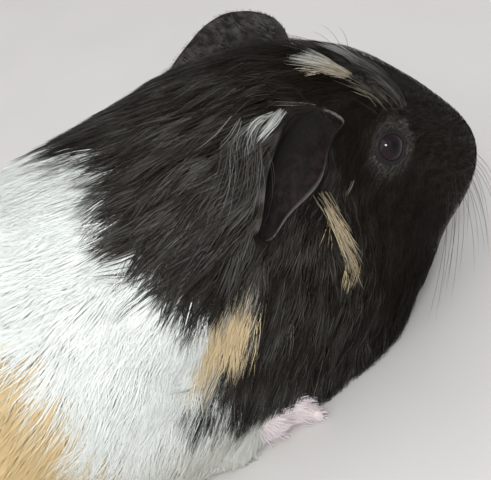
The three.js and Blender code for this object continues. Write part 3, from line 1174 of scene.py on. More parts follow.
@dataclass
class Skin:
    """The one skin over body, head, legs and paws, inside the frame's solids by the coat's depth."""

    frame: dict
    head: HeadAxes
    groom: Groom
    markings: Markings
    cell: float = 1.7  # spacing of the body's mesh
    fine_cell: float = 0.68  # spacing of the paws' mesh
    swell: float = 0.3  # the solids are grown by this before they are joined, which closes their gaps
    rounds: int = 14  # of smoothing
    face_from: float = -8.0  # the mesh is twice as fine ahead of this, in the head's frame
    snout_from: float = 22.0  # and four times as fine ahead of this
    socket: Pair = (7.2, 5.2)  # outer and inner radius of the dip round an eye's line of sight
    socket_depth: float = 4.2

    FLESH = ("trunk", "neck", "head", "foreleg_left", "foreleg_right", "hindleg_left", "hindleg_right")
    FORE_CUT = ((26.0, 0.0), (1.0, -0.3))  # X and Z of a point where the CAD foot is cut off, and the way out
    HIND_CUT = ((-56.0, 0.0), (0.6, -0.8))

    def solid(self, name: str) -> bmesh.types.BMesh:
        """Returns one of the frame's solids, grown a little and without its foot.

        Args:
            name: of the solid's node.

        Returns:
            The solid.
        """
        part = bmesh.new()
        part.from_mesh(self.frame["nodes"][name].data)
        bmesh.ops.remove_doubles(part, verts=part.verts, dist=0.002 * MM)
        if "leg" in name:
            place, way = self.FORE_CUT if "fore" in name else self.HIND_CUT
            cut = bmesh.ops.bisect_plane(
                part,
                geom=[*part.verts, *part.edges, *part.faces],
                plane_co=(place[0] * MM, 0, place[1] * MM),
                plane_no=(way[0], 0, way[1]),
                clear_outer=True,
            )
            rim = [e for e in cut["geom_cut"] if isinstance(e, bmesh.types.BMEdge)]
            bmesh.ops.holes_fill(part, edges=rim)
        bmesh.ops.recalc_face_normals(part, faces=part.faces)
        part.normal_update()
        for vert in part.verts:
            vert.co += vert.normal * self.swell * MM
        return part

    def remeshed(self, mesh: bpy.types.Mesh, cell: float) -> bpy.types.Mesh:
        """Returns one even mesh over everything in a mesh, with its faces so many millimetres apart.

        Args:
            mesh: the closed solids.
            cell: spacing of the new faces.

        Returns:
            The new mesh.
        """
        holder = bpy.data.objects.new("holder", mesh)
        bpy.context.scene.collection.objects.link(holder)
        modifier = holder.modifiers.new("even", "REMESH")
        modifier.mode = "VOXEL"
        modifier.voxel_size = cell * MM
        made = bpy.data.meshes.new_from_object(holder.evaluated_get(bpy.context.evaluated_depsgraph_get()))
        bpy.data.objects.remove(holder)
        return made

    def body(self) -> bpy.types.Mesh:
        """Returns the body's skin, finer on the face.

        Returns:
            The mesh, without the paws.
        """
        whole = bpy.data.meshes.new("body")
        gathered = bmesh.new()
        for name in self.FLESH:
            part = self.solid(name)
            part.to_mesh(whole)
            gathered.from_mesh(whole)
            part.free()
        for eye in ("eye_left", "eye_right"):
            low, high = (np.array(corner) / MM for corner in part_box(eye))
            place = (low + high) / 2
            size = Matrix.Diagonal((*((high - low) / 2 * 0.98 * MM), 1))
            bmesh.ops.create_uvsphere(
                gathered,
                u_segments=16,
                v_segments=10,
                radius=1.0,
                matrix=Matrix.Translation(place * MM) @ size,
            )
        gathered.to_mesh(whole)
        gathered.free()
        mesh = self.remeshed(whole, self.cell)
        set_points(mesh, relaxed(mesh, points_of(mesh), self.rounds, 0.6))
        points = points_of(mesh)
        depth = self.groom.depth(points)
        under = ease(10, 2, points[:, 2]) * ease(0.3, 0.8, -normals_of(mesh)[:, 2])
        depth = depth * (1 - 0.8 * under)
        points = points - normals_of(mesh) * depth[:, None]
        set_points(mesh, relaxed(mesh, points, 4, 0.5))
        for start in (self.face_from, self.snout_from):
            self.refine(mesh, start)
        return mesh

    def refine(self, mesh: bpy.types.Mesh, start: float) -> None:
        """Halves the mesh's spacing ahead of a place in the head's frame, and smooths it there.

        Args:
            mesh: changed in place.
            start: forward in the head's frame.
        """
        fine = bmesh.new()
        fine.from_mesh(mesh)
        points = points_of(mesh)
        ahead = self.head.local(points)[:, 0] > start
        fine.verts.ensure_lookup_table()
        edges = [e for e in fine.edges if ahead[e.verts[0].index] and ahead[e.verts[1].index]]
        bmesh.ops.subdivide_edges(fine, edges=edges, cuts=1, use_grid_fill=True)
        fine.to_mesh(mesh)
        fine.free()
        points = points_of(mesh)
        share = 0.5 * ease(start, start + 2.0, self.head.local(points)[:, 0])
        set_points(mesh, relaxed(mesh, points, 4, share[:, None]))

    def paws(self) -> bpy.types.Mesh:
        """Returns the four paws as one mesh.

        Returns:
            The mesh.
        """
        gathered = bmesh.new()
        for paw in PAWS:
            for place, radius in paw.balls():
                matrix = Matrix.Translation(place * MM) @ Matrix.Scale(radius * MM, 4)
                bmesh.ops.create_uvsphere(gathered, u_segments=14, v_segments=8, radius=1.0, matrix=matrix)
        rough = bpy.data.meshes.new("paws")
        gathered.to_mesh(rough)
        gathered.free()
        mesh = self.remeshed(rough, self.fine_cell)
        points = relaxed(mesh, points_of(mesh), 5, 0.5)
        points[:, 2] = np.maximum(points[:, 2], 0.05)
        set_points(mesh, points)
        self.paw_points, self.paw_normals = points, normals_of(mesh)
        return mesh

    def sculpt(self, mesh: bpy.types.Mesh, eyes: list[Eye]) -> None:
        """Presses in the nostrils, the lip and the mouth, and makes room for the eyes and their lids.

        Args:
            mesh: changed in place.
            eyes: both eyes.
        """
        points, normals = points_of(mesh), normals_of(mesh)
        local = self.head.local(points)
        points = points + normals * Snout().relief(local)[:, None]
        for eye in eyes:
            spread = points - eye.middle
            ahead = spread @ eye.axes[2]
            apart = np.linalg.norm(spread - ahead[:, None] * eye.axes[2], axis=1)
            near = ease(*self.socket, apart) * (ahead > -2)
            points = points - eye.axes[2] * (near * self.socket_depth)[:, None]
        points[:, 2] = np.maximum(points[:, 2], 0.3)
        set_points(mesh, points)

    def build(self, eyes: list[Eye]) -> tuple[bpy.types.Object, Surface]:
        """Makes the skin object, and the surface that the coat grows from.

        Args:
            eyes: both eyes.

        Returns:
            The skin, and the surface.
        """
        body = self.body()
        surface = Surface(points_of(body), [tuple(p.vertices) for p in body.polygons])
        self.sculpt(body, eyes)
        whole = bmesh.new()
        whole.from_mesh(body)
        paws = self.paws()
        whole.from_mesh(paws)
        whole.to_mesh(body)
        whole.free()
        self.lids = [Lids(eye, surface) for eye in eyes]
        self.lid_grids = [lids.points() for lids in self.lids]
        points, quads, corners = [points_of(body)], [], len(body.vertices)
        ends = []
        for grid, eye in zip(self.lid_grids, eyes):
            rows, columns = grid.shape[:2]
            ring = np.arange(columns) + corners
            outer = (rows - 1) * columns
            count = rows * columns
            quads.append(grid_faces(rows, columns, True) + corners)
            ends += [fan(ring, corners + count), fan(ring + outer, corners + count + 1)[:, ::-1]]
            points += [grid.reshape(-1, 3), eye.middle[None], (eye.middle - eye.axes[2] * 3)[None]]
            corners += count + 2
        sides = [list(p.vertices) for p in body.polygons]
        base_quads = np.array([s for s in sides if len(s) == 4])
        odd = [s for s in sides if len(s) != 4]
        base_triangles = np.array([[s[0], s[i], s[i + 1]] for s in odd for i in range(1, len(s) - 1)])
        triangles = np.concatenate([base_triangles.reshape(-1, 3), *ends])
        skin = mesh_piece("skin", np.concatenate(points), np.concatenate([base_quads, *quads]), triangles)
        self.dress(skin.data, eyes, len(body.vertices) - len(paws.vertices), len(body.vertices))
        return skin, surface

    def dress(self, mesh: bpy.types.Mesh, eyes: list[Eye], paws_from: int, paws_to: int) -> None:
        """Stores the markings, and where the skin is bare, on the skin's corners.

        Args:
            mesh: the skin's.
            eyes: both eyes.
            paws_from: the paws' first corner.
            paws_to: the corner after their last.
        """
        points = points_of(mesh)
        local = self.head.local(points)
        hair = self.markings.colours(points, Seed.SKIN_TONES)
        hair[paws_from:paws_to, :2] = (1.0, 0.1)
        bare = np.zeros((len(points), 4))
        bare[:, 3] = 1
        for eye in eyes:
            apart = np.linalg.norm(points - eye.middle, axis=1)
            bare[:, 0] = np.maximum(bare[:, 0], ease(7.2, 6.2, apart))
        bare[:, 0] = np.maximum(bare[:, 0], Snout().bare(local))
        low = np.zeros(len(points), bool)
        low[paws_from:paws_to] = True
        bare[:, 0] = np.where(low, 1.0, bare[:, 0])
        bare[:, 1] = np.where(low, 1.0, 0.0)
        store_colour(mesh, "hair", hair)
        store_colour(mesh, "bare", bare)


@dataclass(frozen=True)
class Snout:
    """Relief of nose, lip and mouth, in the head's frame. Distances are forward, outward and up."""

    front: float = 33.0  # the relief counts ahead of this
    nostril: Pair = (3.3, -9.5)  # outward and up
    nostril_half: Pair = (1.0, 1.7)
    nostril_turn: float = math.radians(35)
    nostril_depth: float = 2.2
    groove_bottom: float = -21.5
    groove_depth: float = 0.9
    mouth_up: float = -22.0
    mouth_drop: float = 0.035  # the mouth's ends droop by this times the square of the way out
    mouth_half: float = 8.5
    mouth_depth: float = 1.3

    def relief(self, local: np.ndarray) -> np.ndarray:
        """Returns how far the skin stands out of the plain surface at each point.

        Args:
            local: places in the head's frame.

        Returns:
            The heights in millimetres.
        """
        forward, outward, up = local[:, 0], np.abs(local[:, 1]), local[:, 2]
        ahead = ease(self.front - 8, self.front - 2, forward)
        c, s = math.cos(self.nostril_turn), math.sin(self.nostril_turn)
        across, along = outward - self.nostril[0], up - self.nostril[1]
        bent = across + 0.12 * along**2
        short, long = self.nostril_half
        turned = np.hypot((bent * c - along * s) / short, (bent * s + along * c) / long)
        made = -self.nostril_depth * np.exp(-(turned**2) * 1.2)
        made += 0.45 * np.exp(-(((turned - 1.9) / 0.6) ** 2))
        line = np.exp(-((outward / 0.42) ** 2)) * ease(-8.0, -10.5, up)
        line *= ease(self.groove_bottom - 1, self.groove_bottom + 1, up)
        made -= self.groove_depth * line
        mouth = self.mouth_up - self.mouth_drop * outward**2
        gap = np.exp(-(((up - mouth) / 0.55) ** 2)) * ease(self.mouth_half, self.mouth_half - 3, outward)
        made -= self.mouth_depth * gap
        made += 0.7 * np.exp(-(((up - mouth - 2.6) / 2.2) ** 2) - ((outward - 4.2) / 3.2) ** 2)
        made += 0.3 * np.exp(-(((up - mouth + 2.0) / 1.6) ** 2) - (outward / 4.0) ** 2)
        return made * ahead

    def bare(self, local: np.ndarray) -> np.ndarray:
        """Returns where the nose's bare skin lies, from 0 to 1.

        Args:
            local: places in the head's frame.

        Returns:
            The share of bare skin.
        """
        forward, outward, up = local[:, 0], np.abs(local[:, 1]), local[:, 2]
        pad = np.hypot(outward / 5.4, (up - self.nostril[1] + 0.4) / 3.6)
        return ease(1.15, 0.85, pad) * ease(self.front - 4, self.front, forward)

    def open(self, local: np.ndarray) -> np.ndarray:
        """Returns which points are too near a nostril or the mouth for hair.

        Args:
            local: places in the head's frame.

        Returns:
            Whether each is too near.
        """
        forward, outward, up = local[:, 0], np.abs(local[:, 1]), local[:, 2]
        mouth = self.mouth_up - self.mouth_drop * outward**2
        on_mouth = (np.abs(up - mouth) < 0.7) & (outward < self.mouth_half)
        pad = np.hypot(outward / 4.6, (up - self.nostril[1] + 0.4) / 2.8) < 1
        return (forward > self.front - 4) & (on_mouth | pad)


# ---- eyes ----


@dataclass
class EyeBall:
    """The ball of one eye, with a clear bulging front."""

    eye: Eye
    columns: int = 56
    rows: int = 36
    bulge: float = 0.45
    bulge_width: float = math.radians(34)
    pupil_edge: float = math.radians(19)
    iris_edge: float = math.radians(60)

    def build(self, finish: bpy.types.Material) -> None:
        """Makes the ball's object.

        Args:
            finish: the ball's material.
        """
        eye = self.eye
        turn = np.linspace(0, 2 * math.pi, self.columns, endpoint=False)
        tilt = np.linspace(0, math.pi, self.rows + 1)[1:-1]
        turns, tilts = np.meshgrid(turn, tilt)
        radius = eye.radius + self.bulge * np.exp(-((tilts / self.bulge_width) ** 2))
        shell = eye.middle + eye.towards(turns, tilts) * radius[..., None]
        front = eye.middle + eye.axes[2] * (eye.radius + self.bulge)
        back = eye.middle - eye.axes[2] * eye.radius
        points = np.concatenate([shell.reshape(-1, 3), [front, back]])
        quads = grid_faces(len(tilt), self.columns, True)[:, ::-1]
        ring = np.arange(self.columns)
        last = (len(tilt) - 1) * self.columns
        caps = np.concatenate([fan(ring, len(points) - 2)[:, ::-1], fan(ring + last, len(points) - 1)])
        ball = mesh_piece(sided("eyeball", eye.side), points, quads, caps)
        tilts = np.concatenate([tilts.ravel(), [0.0, math.pi]])
        iris = ease(self.pupil_edge - 0.04, self.pupil_edge + 0.04, tilts)
        white = ease(self.iris_edge, self.iris_edge + 0.07, tilts)
        store_colour(ball.data, "eye", np.stack([iris, white, 0 * iris, 0 * iris + 1], axis=1))
        settled(ball, finish, "eye", sided("eye", eye.side))


# ---- ears ----


@dataclass(frozen=True)
class EarPose:
    """Sizes of one ear's petal and how it hangs.

    Attributes:
        base: the middle of its base, forward, outward and up in the head's frame.
        wide: from its front corner to its rear corner.
        short: how much shorter it is ahead of its middle.
        long: from its base to its free edge.
        slope: how far its base runs down towards the rear.
        flare: and outwards.
        droop: how far it points down from level at its base.
        curl: how far it bends over along its length.
        trail: how much further the rear corner reaches.
        narrowing: how much narrower the free edge is, as a share.
        back: how far the free edge is drawn back.
        ripple: height of the free edge's wave.
        waves: the wave's turn from the middle to a corner.
        phase: where the wave starts.
    """

    base: Triple
    wide: float
    short: float
    long: float
    slope: float
    flare: float
    droop: float
    curl: float
    trail: float
    narrowing: float
    back: float
    ripple: float
    waves: float
    phase: float


EAR_POSES = {
    LEFT: EarPose(
        base=(-26.0, 21.3, -6.4), wide=40.0, short=0.0, long=30.0, slope=math.radians(23.2),
        flare=math.radians(2), droop=math.radians(-30), curl=0.15, trail=-0.22, narrowing=0.07, back=0.05,
        ripple=0.7, waves=4.2, phase=0.6,
    ),
    RIGHT: EarPose(
        base=(-29.6, 21.9, 5.2), wide=42.6, short=0.55, long=18.3, slope=math.radians(64.7),
        flare=math.radians(16.6), droop=math.radians(-84.5), curl=2.37, trail=-0.25, narrowing=-0.23,
        back=0.0, ripple=4.75, waves=3.61, phase=2.5,
    ),
}


@dataclass
class Ear:
    """One ear: a thin petal of skin, bent over along its length, with a beaded wavy rim."""

    head: HeadAxes
    side: int
    square: float = 0.8
    cup: float = 0.1
    thick_base: float = 1.9
    thick_edge: float = 0.62
    columns: int = 96
    rows: int = 44

    def middle_surface(self, across: np.ndarray, out: np.ndarray) -> np.ndarray:
        """Returns the petal's middle surface: along its base, from base to edge, and out of its back.

        Args:
            across: from -1 at the rear corner to 1 at the front one.
            out: from 0 at the base to 1 at the free edge.

        Returns:
            The points, (rows, columns, 3).
        """
        pose = EAR_POSES[self.side]
        radius = pose.long / pose.curl
        bend = pose.long * out * (1 - pose.trail * across) / radius
        lift = pose.ripple * np.sin(across * pose.waves + pose.phase) * out**2
        cup = -self.cup * pose.wide * across**2 * out
        along = across - pose.short * (1 + across) ** 2 / 4
        return np.stack([
            pose.wide / 2 * (along * (1.06 - pose.narrowing * out) - pose.back * out),
            (radius + lift) * np.sin(bend),
            (radius + lift) * np.cos(bend) - radius + cup,
        ], axis=-1)

    def placed(self, points: np.ndarray) -> np.ndarray:
        """Returns the petal's points in the row's frame.

        Args:
            points: in the petal's own frame.

        Returns:
            The places.
        """
        pose = EAR_POSES[self.side]
        front = unit(np.array([math.cos(pose.slope), -math.tan(pose.flare), math.sin(pose.slope)]))
        level = np.array([0.0, math.cos(pose.droop), -math.sin(pose.droop)])
        lift = unit(np.cross(front, level))
        out = np.cross(lift, front)
        local = points @ np.stack([front, out, lift]) + pose.base
        return self.head.place(local * (1, self.side, 1))

    def build(self, finish: bpy.types.Material) -> bpy.types.Object:
        """Makes the ear's object.

        Args:
            finish: the ear's material.

        Returns:
            The ear.
        """
        turn = np.linspace(-math.pi / 2, math.pi / 2, self.columns) * 0.985
        share = np.linspace(0, 1, self.rows)
        turns, shares = np.meshgrid(turn, share)
        across = np.sin(turns)
        level = (2 * shares - 1) * np.cos(turns)
        out = (np.sign(level) * np.abs(level) ** self.square + 1) / 2
        middle = self.middle_surface(across, out)
        along = np.gradient(middle, axis=1)
        outward = np.gradient(middle, axis=0)
        normal = unit(np.cross(along, outward))
        normal[0], normal[-1] = normal[1], normal[-2]
        to_edge = np.minimum((1 - shares) * np.cos(turns) * EAR_POSES[self.side].long, 4.0)
        thick = self.thick_edge + (self.thick_base - self.thick_edge) * ease(0.9, 0.3, out)
        bead = 0.30 * np.exp(-(((to_edge - 0.45) / 0.5) ** 2))
        rounded = np.sqrt(np.clip(to_edge / 0.45, 0.0, 1.0))
        half = (thick + bead) / 2 * np.maximum(rounded, 0.05)
        wrinkle = 0.22 * np.sin(out * 21 + 1.5 * np.sin(across * 3.1))
        wrinkle = wrinkle * ease(0.5, 0.62, out) * ease(0.98, 0.8, out)
        wrinkle = wrinkle + 0.25 * np.sin(across * 13 + out * 3) * ease(0.55, 0.9, out) * 0.6
        top = self.placed((middle + normal * (half + wrinkle * 0.5)[..., None]).reshape(-1, 3))
        under = self.placed((middle - normal * (half - wrinkle * 0.5)[..., None]).reshape(-1, 3))
        self.top = top.reshape(self.rows, self.columns, 3)
        self.under = under.reshape(self.rows, self.columns, 3)
        count = self.rows * self.columns
        sheet = grid_faces(self.rows, self.columns, False)
        index = np.arange(count).reshape(self.rows, self.columns)
        loop = np.concatenate([index[0, :-1], index[:-1, -1], index[-1, :0:-1], index[:0:-1, 0]])
        after = np.roll(loop, -1)
        wall = np.stack([loop, loop + count, after + count, after], axis=1)
        quads = np.concatenate([sheet, sheet[:, ::-1] + count, wall])
        if self.side == RIGHT:
            quads = quads[:, ::-1]
        name = sided("ear_flap", self.side)
        ear = mesh_piece(name, np.concatenate([top, under]), quads, np.zeros((0, 3), int))
        # Painted highlight along the rim: how much rim colour each point takes, most at the free edge.
        rim = ease(0.6, 0.1, to_edge)
        # where the flush and, on the far ear, the painted sheen show: the ear's outer part
        bloom_and_sheen = ease(0.45, 0.75, out) * 0.9
        colour = np.stack([rim, bloom_and_sheen, 0 * rim, 0 * rim + 1], axis=-1).reshape(-1, 4)
        store_colour(ear.data, "ear", np.concatenate([colour, colour]))
        return settled(ear, finish, "ear_skin", sided("ear", self.side))


# ---- strands ----


def unwrapped(points: np.ndarray) -> np.ndarray:
    """Returns each point's place on an unwrap of the skin, as of a long ball, cut open along the belly.

    Args:
        points: places on the skin.

    Returns:
        Two numbers from 0 to 1 for each.
    """
    x, y, z = points.T
    from_axis = np.hypot(y, z - AXIS_HEIGHT)
    along = 0.5 + np.arctan2(x / HALF_LENGTH, from_axis / HALF_WIDTH) / math.pi
    around = 0.5 + np.arctan2(y, z - AXIS_HEIGHT) / (2 * math.pi)
    return np.stack([along, around], axis=1)


@dataclass
class Strands:
    """Many tapered three-sided hairs, made into one mesh.

    Attributes:
        paths: from root to tip, (count, steps + 1, 3).
        away: directions away from the skin along the paths.
        widths: of each strand.
        colours: four numbers for each strand.
        flatness: thickness over width.
    """

    paths: np.ndarray
    away: np.ndarray
    widths: np.ndarray
    colours: np.ndarray
    flatness: float = 0.3
    softness: float = 0.92  # how far the shading follows the coat as a whole, from 0 to 1
    patch: float = 0.003  # size of a strand on the unwrap

    def mesh(self, name: str) -> bpy.types.Object:
        """Makes the piece, with each strand's colour, the way along it, and its place on the unwrap.

        Args:
            name: the piece's name.

        Returns:
            The piece.
        """
        count, joints, _ = self.paths.shape
        rings = joints - 1
        forward = unit(np.gradient(self.paths, axis=1))
        side = unit(np.cross(forward, self.away))
        lift = np.cross(side, forward)
        way = np.arange(joints) / rings
        taper = (0.75 + 0.6 * way) * (1 - way) ** 0.55
        taper[0] = 0.7
        turns = np.radians([90, 210, 330])
        wide, high = np.cos(turns)[:, None], (np.sin(turns) * self.flatness)[:, None]
        ring = side[:, :-1, None] * wide + lift[:, :-1, None] * high
        sizes = (self.widths[:, None] * 0.5 * taper[:-1])[..., None, None]
        corners = (self.paths[:, :-1, None] + ring * sizes).reshape(count, rings * 3, 3)
        points = np.concatenate([corners, self.paths[:, -1:]], axis=1)
        each = rings * 3 + 1
        first = (np.arange(count) * each)[:, None, None]
        quads = (grid_faces(rings, 3, True)[None] + first).reshape(-1, 4)
        low = (rings - 1) * 3
        tip = each - 1
        ends = np.array([[2, 1, 0], [low, low + 1, tip], [low + 1, low + 2, tip], [low + 2, low, tip]])
        triangles = (ends[None] + first).reshape(-1, 3)
        piece = mesh_piece(name, points.reshape(-1, 3), quads[:, ::-1], triangles[:, ::-1])
        ways = np.append(np.repeat(way[:-1], 3), 1.0)
        if self.colours.ndim == 2:
            colours = np.repeat(self.colours[:, None], each, axis=1)
        else:
            rows = np.repeat(self.colours[:, :-1], 3, axis=1)
            colours = np.concatenate([rows, self.colours[:, -1:]], axis=1)
        colours[..., 3] = ways
        store_colour(piece.data, "hair", colours.reshape(-1, 4))
        around = np.concatenate([unit(ring).reshape(count, rings * 3, 3), self.away[:, -1:]], axis=1)
        above = np.concatenate([np.repeat(self.away[:, :-1], 3, axis=1), self.away[:, -1:]], axis=1)
        soft = unit(around * (1 - self.softness) + above * self.softness)
        piece.data.normals_split_custom_set_from_vertices(soft.reshape(-1, 3))
        places = unwrapped(self.paths[:, 0])
        spread = places.max(axis=0) - places.min(axis=0)
        places = 0.01 + 0.98 * (places - places.min(axis=0)) / spread
        across = np.append(np.tile([0.0, 0.5, 1.0], rings), 0.5)
        offsets = np.stack([ways - 0.5, across - 0.5], axis=1) * self.patch
        spots = (places[:, None] + offsets[None]).reshape(-1, 2)
        corners_of = np.empty(len(piece.data.loops), np.int32)
        piece.data.loops.foreach_get("vertex_index", corners_of)
        layer = piece.data.uv_layers.new(name="OFBake")
        layer.uv.foreach_set("vector", spots[corners_of].astype(np.float32).ravel())
        return piece


@dataclass(frozen=True)
class Zone:
    """One piece of the coat: the hairs whose roots lie in a box.

    Attributes:
        name: the piece's name.
        slot: the record's slot for most of its hairs.
        on: frame of the box.
        low: lowest corner of the box.
        high: highest corner.
        count: number of strands.
        steps: joints along a strand.
        width: of a strand, at no length and for each millimetre of length.
        clump: how far tips are drawn together, from 0 to 1.
        level: the lowest strands' height as a share of the coat's depth.
        rise: how strands reach their height: evenly at 1, sooner towards 0.
        wild: share of strands that stand out from the rest.
    """

    name: str
    slot: str
    on: On
    low: Triple
    high: Triple
    count: int
    steps: int
    width: Pair
    clump: float
    level: float = 0.74
    rise: float = 0.45
    wild: float = 0.035


@dataclass(frozen=True)
class Tuft:
    """A lock of longer hairs that stands out of the head's coat.

    Attributes:
        name: what it is.
        root: the middle of its roots.
        tip: the middle of its tips.
        spread: radius of the roots, and of the tips.
        count: number of hairs.
        height: of the tips above the skin.
        pale: of the hairs, at root and tip.
        tan: of the hairs, at root and tip.
        bow: how far its middle bends sideways.
        width: of a hair.
    """

    name: str
    root: Triple
    tip: Triple
    spread: Pair
    count: int
    height: float = 3.6
    pale: Pair = (1.0, 1.0)
    tan: Pair = (0.1, 0.0)
    bow: float = 0.0
    width: float = 0.24


TUFTS = (
    Tuft("blaze", (-10, -10.5, 17), (-22.5, -2.5, 18), (1.5, 2.1), 96, 4.0, (0.5, 0.72), (0.65, 0.1),
         width=0.2),
    Tuft("blaze, lower finger", (-11, -11, 17), (-19.5, -7, 17.5), (1.1, 1.2), 32, 3.8, (0.5, 0.5),
         (0.75, 0.5), width=0.2),
    Tuft("blaze, upper finger", (-12, -7.5, 18), (-19, -0.5, 18.5), (1.2, 1.7), 34, 4.0, (0.3, 0.55),
         (0.4, 0.05), width=0.2),
    Tuft("ridge", (-4, -4, 17.3), (-12, 4.5, 18.5), (2.0, 2.4), 44, 3.6, (0.15, 0.62), (0.1, 0.0),
         width=0.2),
    Tuft("ridge, front", (2, -8, 14.5), (-6, -2, 18), (2.0, 2.4), 30, 3.0, (0.03, 0.16), (0.1, 0.0)),
    # Painted sheen: grey hair over the eye for light on the black forehead.
    Tuft("over the eye", (4.5, -15, 10), (-3, -8.5, 15.5), (2.0, 2.6), 26, 2.4, (0.03, 0.13), (0.3, 0.2)),
    Tuft("brow", (-1, -18.3, 11.5), (-9, -13.5, 16), (2.8, 3.0), 14, 2.8, (0.10, 0.32), (0.7, 0.6),
         width=0.18),
    Tuft("brow, rear", (-4, -16.5, 14), (-11, -14, 17), (2.0, 2.2), 9, 2.8, (0.10, 0.32), (0.7, 0.6),
         width=0.18),
    Tuft("over the crown", (-22, -20, 13), (-33, -18, 13), (0.3, 0.3), 3, 4.8, (0.3, 0.35), (0.4, 0.4),
         width=0.16),
    Tuft("behind the ear", (-30.8, -19.4, 12.5), (-38.5, -25.2, 7.6), (1.1, 0.8), 34, 4.4, (0.45, 0.85),
         bow=0.3, width=0.17),
    Tuft("behind the ear, arc", (-33.0, -19.2, 12.3), (-42.6, -29.2, 4.0), (0.9, 1.4), 11, 4.6,
         (0.5, 0.25), bow=-2.2, width=0.15),
    Tuft("behind the ear, edge", (-35.5, -19.6, 11.6), (-41.5, -24, 8), (0.8, 0.8), 14, 4.6, (0.45, 0.6),
         bow=-0.6, width=0.16),
    Tuft("behind the ear, outer arc", (-36.5, -20, 11.2), (-45.5, -29, 3.5), (1.0, 1.6), 6, 4.6,
         (0.4, 0.2), bow=-3.0, width=0.15),
    Tuft("neck wisp", (-43, -15.3, 9.4), (-53.4, -21.1, 2.4), (0.5, 0.8), 4, 5.0, (0.25, 0.2), bow=1.2,
         width=0.16),
    Tuft("neck wisp, short", (-41.5, -17.5, 10), (-49, -24, 4), (0.8, 1.0), 5, 5.0, (0.25, 0.2), bow=1.0,
         width=0.16),
    Tuft("ear base, sheen", (-40, -26, 6), (-46, -41, -8), (3.4, 3.8), 18, 4.4, (0.06, 0.03), bow=1.6,
         width=0.16),
    Tuft("ear base, sheen, rear", (-46, -24, 5), (-53, -38, -8), (4.4, 5.0), 22, 4.4, (0.06, 0.03),
         bow=1.6, width=0.16),
    Tuft("cheek, top", (-21.8, -34, -5.5), (-17.2, -34.2, -14), (2.3, 2.0), 20, 3.0, (0.3, 0.6),
         (0.85, 0.8)),
    Tuft("cheek, upper", (-19.6, -34.2, -9.5), (-14.8, -34.4, -19), (1.7, 2.0), 30, 3.4, (0.7, 0.8),
         (0.85, 0.8)),
    Tuft("cheek, middle", (-16.8, -34.3, -14.5), (-11.8, -35, -24.5), (1.9, 2.3), 34, 3.4, (0.7, 0.7),
         (0.85, 0.8)),
    Tuft("cheek, low", (-14.0, -34.6, -20), (-9.0, -35.5, -30), (1.8, 2.5), 26, 3.4, (0.65, 0.4),
         (0.85, 0.8)),
    Tuft("cheek, end", (-11.5, -35, -26), (-7.5, -35.5, -34), (1.6, 2.4), 12, 3.4, (0.4, 0.2), (0.85, 0.8)),
    Tuft("cheek, front", (-12.1, -29.4, -4.2), (-15.5, -32, -7.8), (0.5, 0.6), 7, 2.8, (0.3, 0.12),
         (0.4, 0.3), width=0.18),
    Tuft("crown wisps", (-16, 3, 18.5), (-23, 9, 21), (3.0, 3.0), 40, 4.6, (0, 0), (0, 0)),
)


FAR = 200.0
ZONES = (
    Zone("coat_face", "coat_black", On.HEAD, (-4, -FAR, -40), (FAR, FAR, FAR), 15500, 2, (0.15, 0.02),
         0.25),
    Zone("coat_crown", "coat_black", On.HEAD, (-46, -FAR, -17), (-4, FAR, FAR), 10800, 3, (0.17, 0.013),
         0.45),
    Zone("coat_throat", "coat_black", On.BODY, (52, -FAR, -FAR), (FAR, FAR, FAR), 9000, 3, (0.2, 0.012),
         0.55),
    Zone("coat_neck_right", "coat_black", On.BODY, (14, -FAR, -FAR), (FAR, 2, FAR), 11500, 3, (0.2, 0.011),
         0.5),
    Zone("coat_neck_left", "coat_black", On.BODY, (14, 2, -FAR), (FAR, FAR, FAR), 8600, 3, (0.22, 0.012),
         0.5),
    Zone("coat_saddle_right", "coat_white", On.BODY, (-42, -FAR, -FAR), (14, 0, FAR), 11400, 3,
         (0.24, 0.011), 0.05, 0.8, 0.4, 0.008),
    Zone("coat_saddle_left", "coat_white", On.BODY, (-42, 0, -FAR), (14, FAR, FAR), 8600, 3, (0.28, 0.013),
         0.05, 0.8, 0.4, 0.008),
    Zone("coat_rump_right", "coat_tan", On.BODY, (-FAR, -FAR, -FAR), (-42, 0, FAR), 8400, 3, (0.28, 0.012),
         0.05, 0.8, 0.4, 0.008),
    Zone("coat_rump_left", "coat_tan", On.BODY, (-FAR, 0, -FAR), (-42, FAR, FAR), 7500, 3, (0.30, 0.013),
         0.05, 0.8, 0.4, 0.008),
)


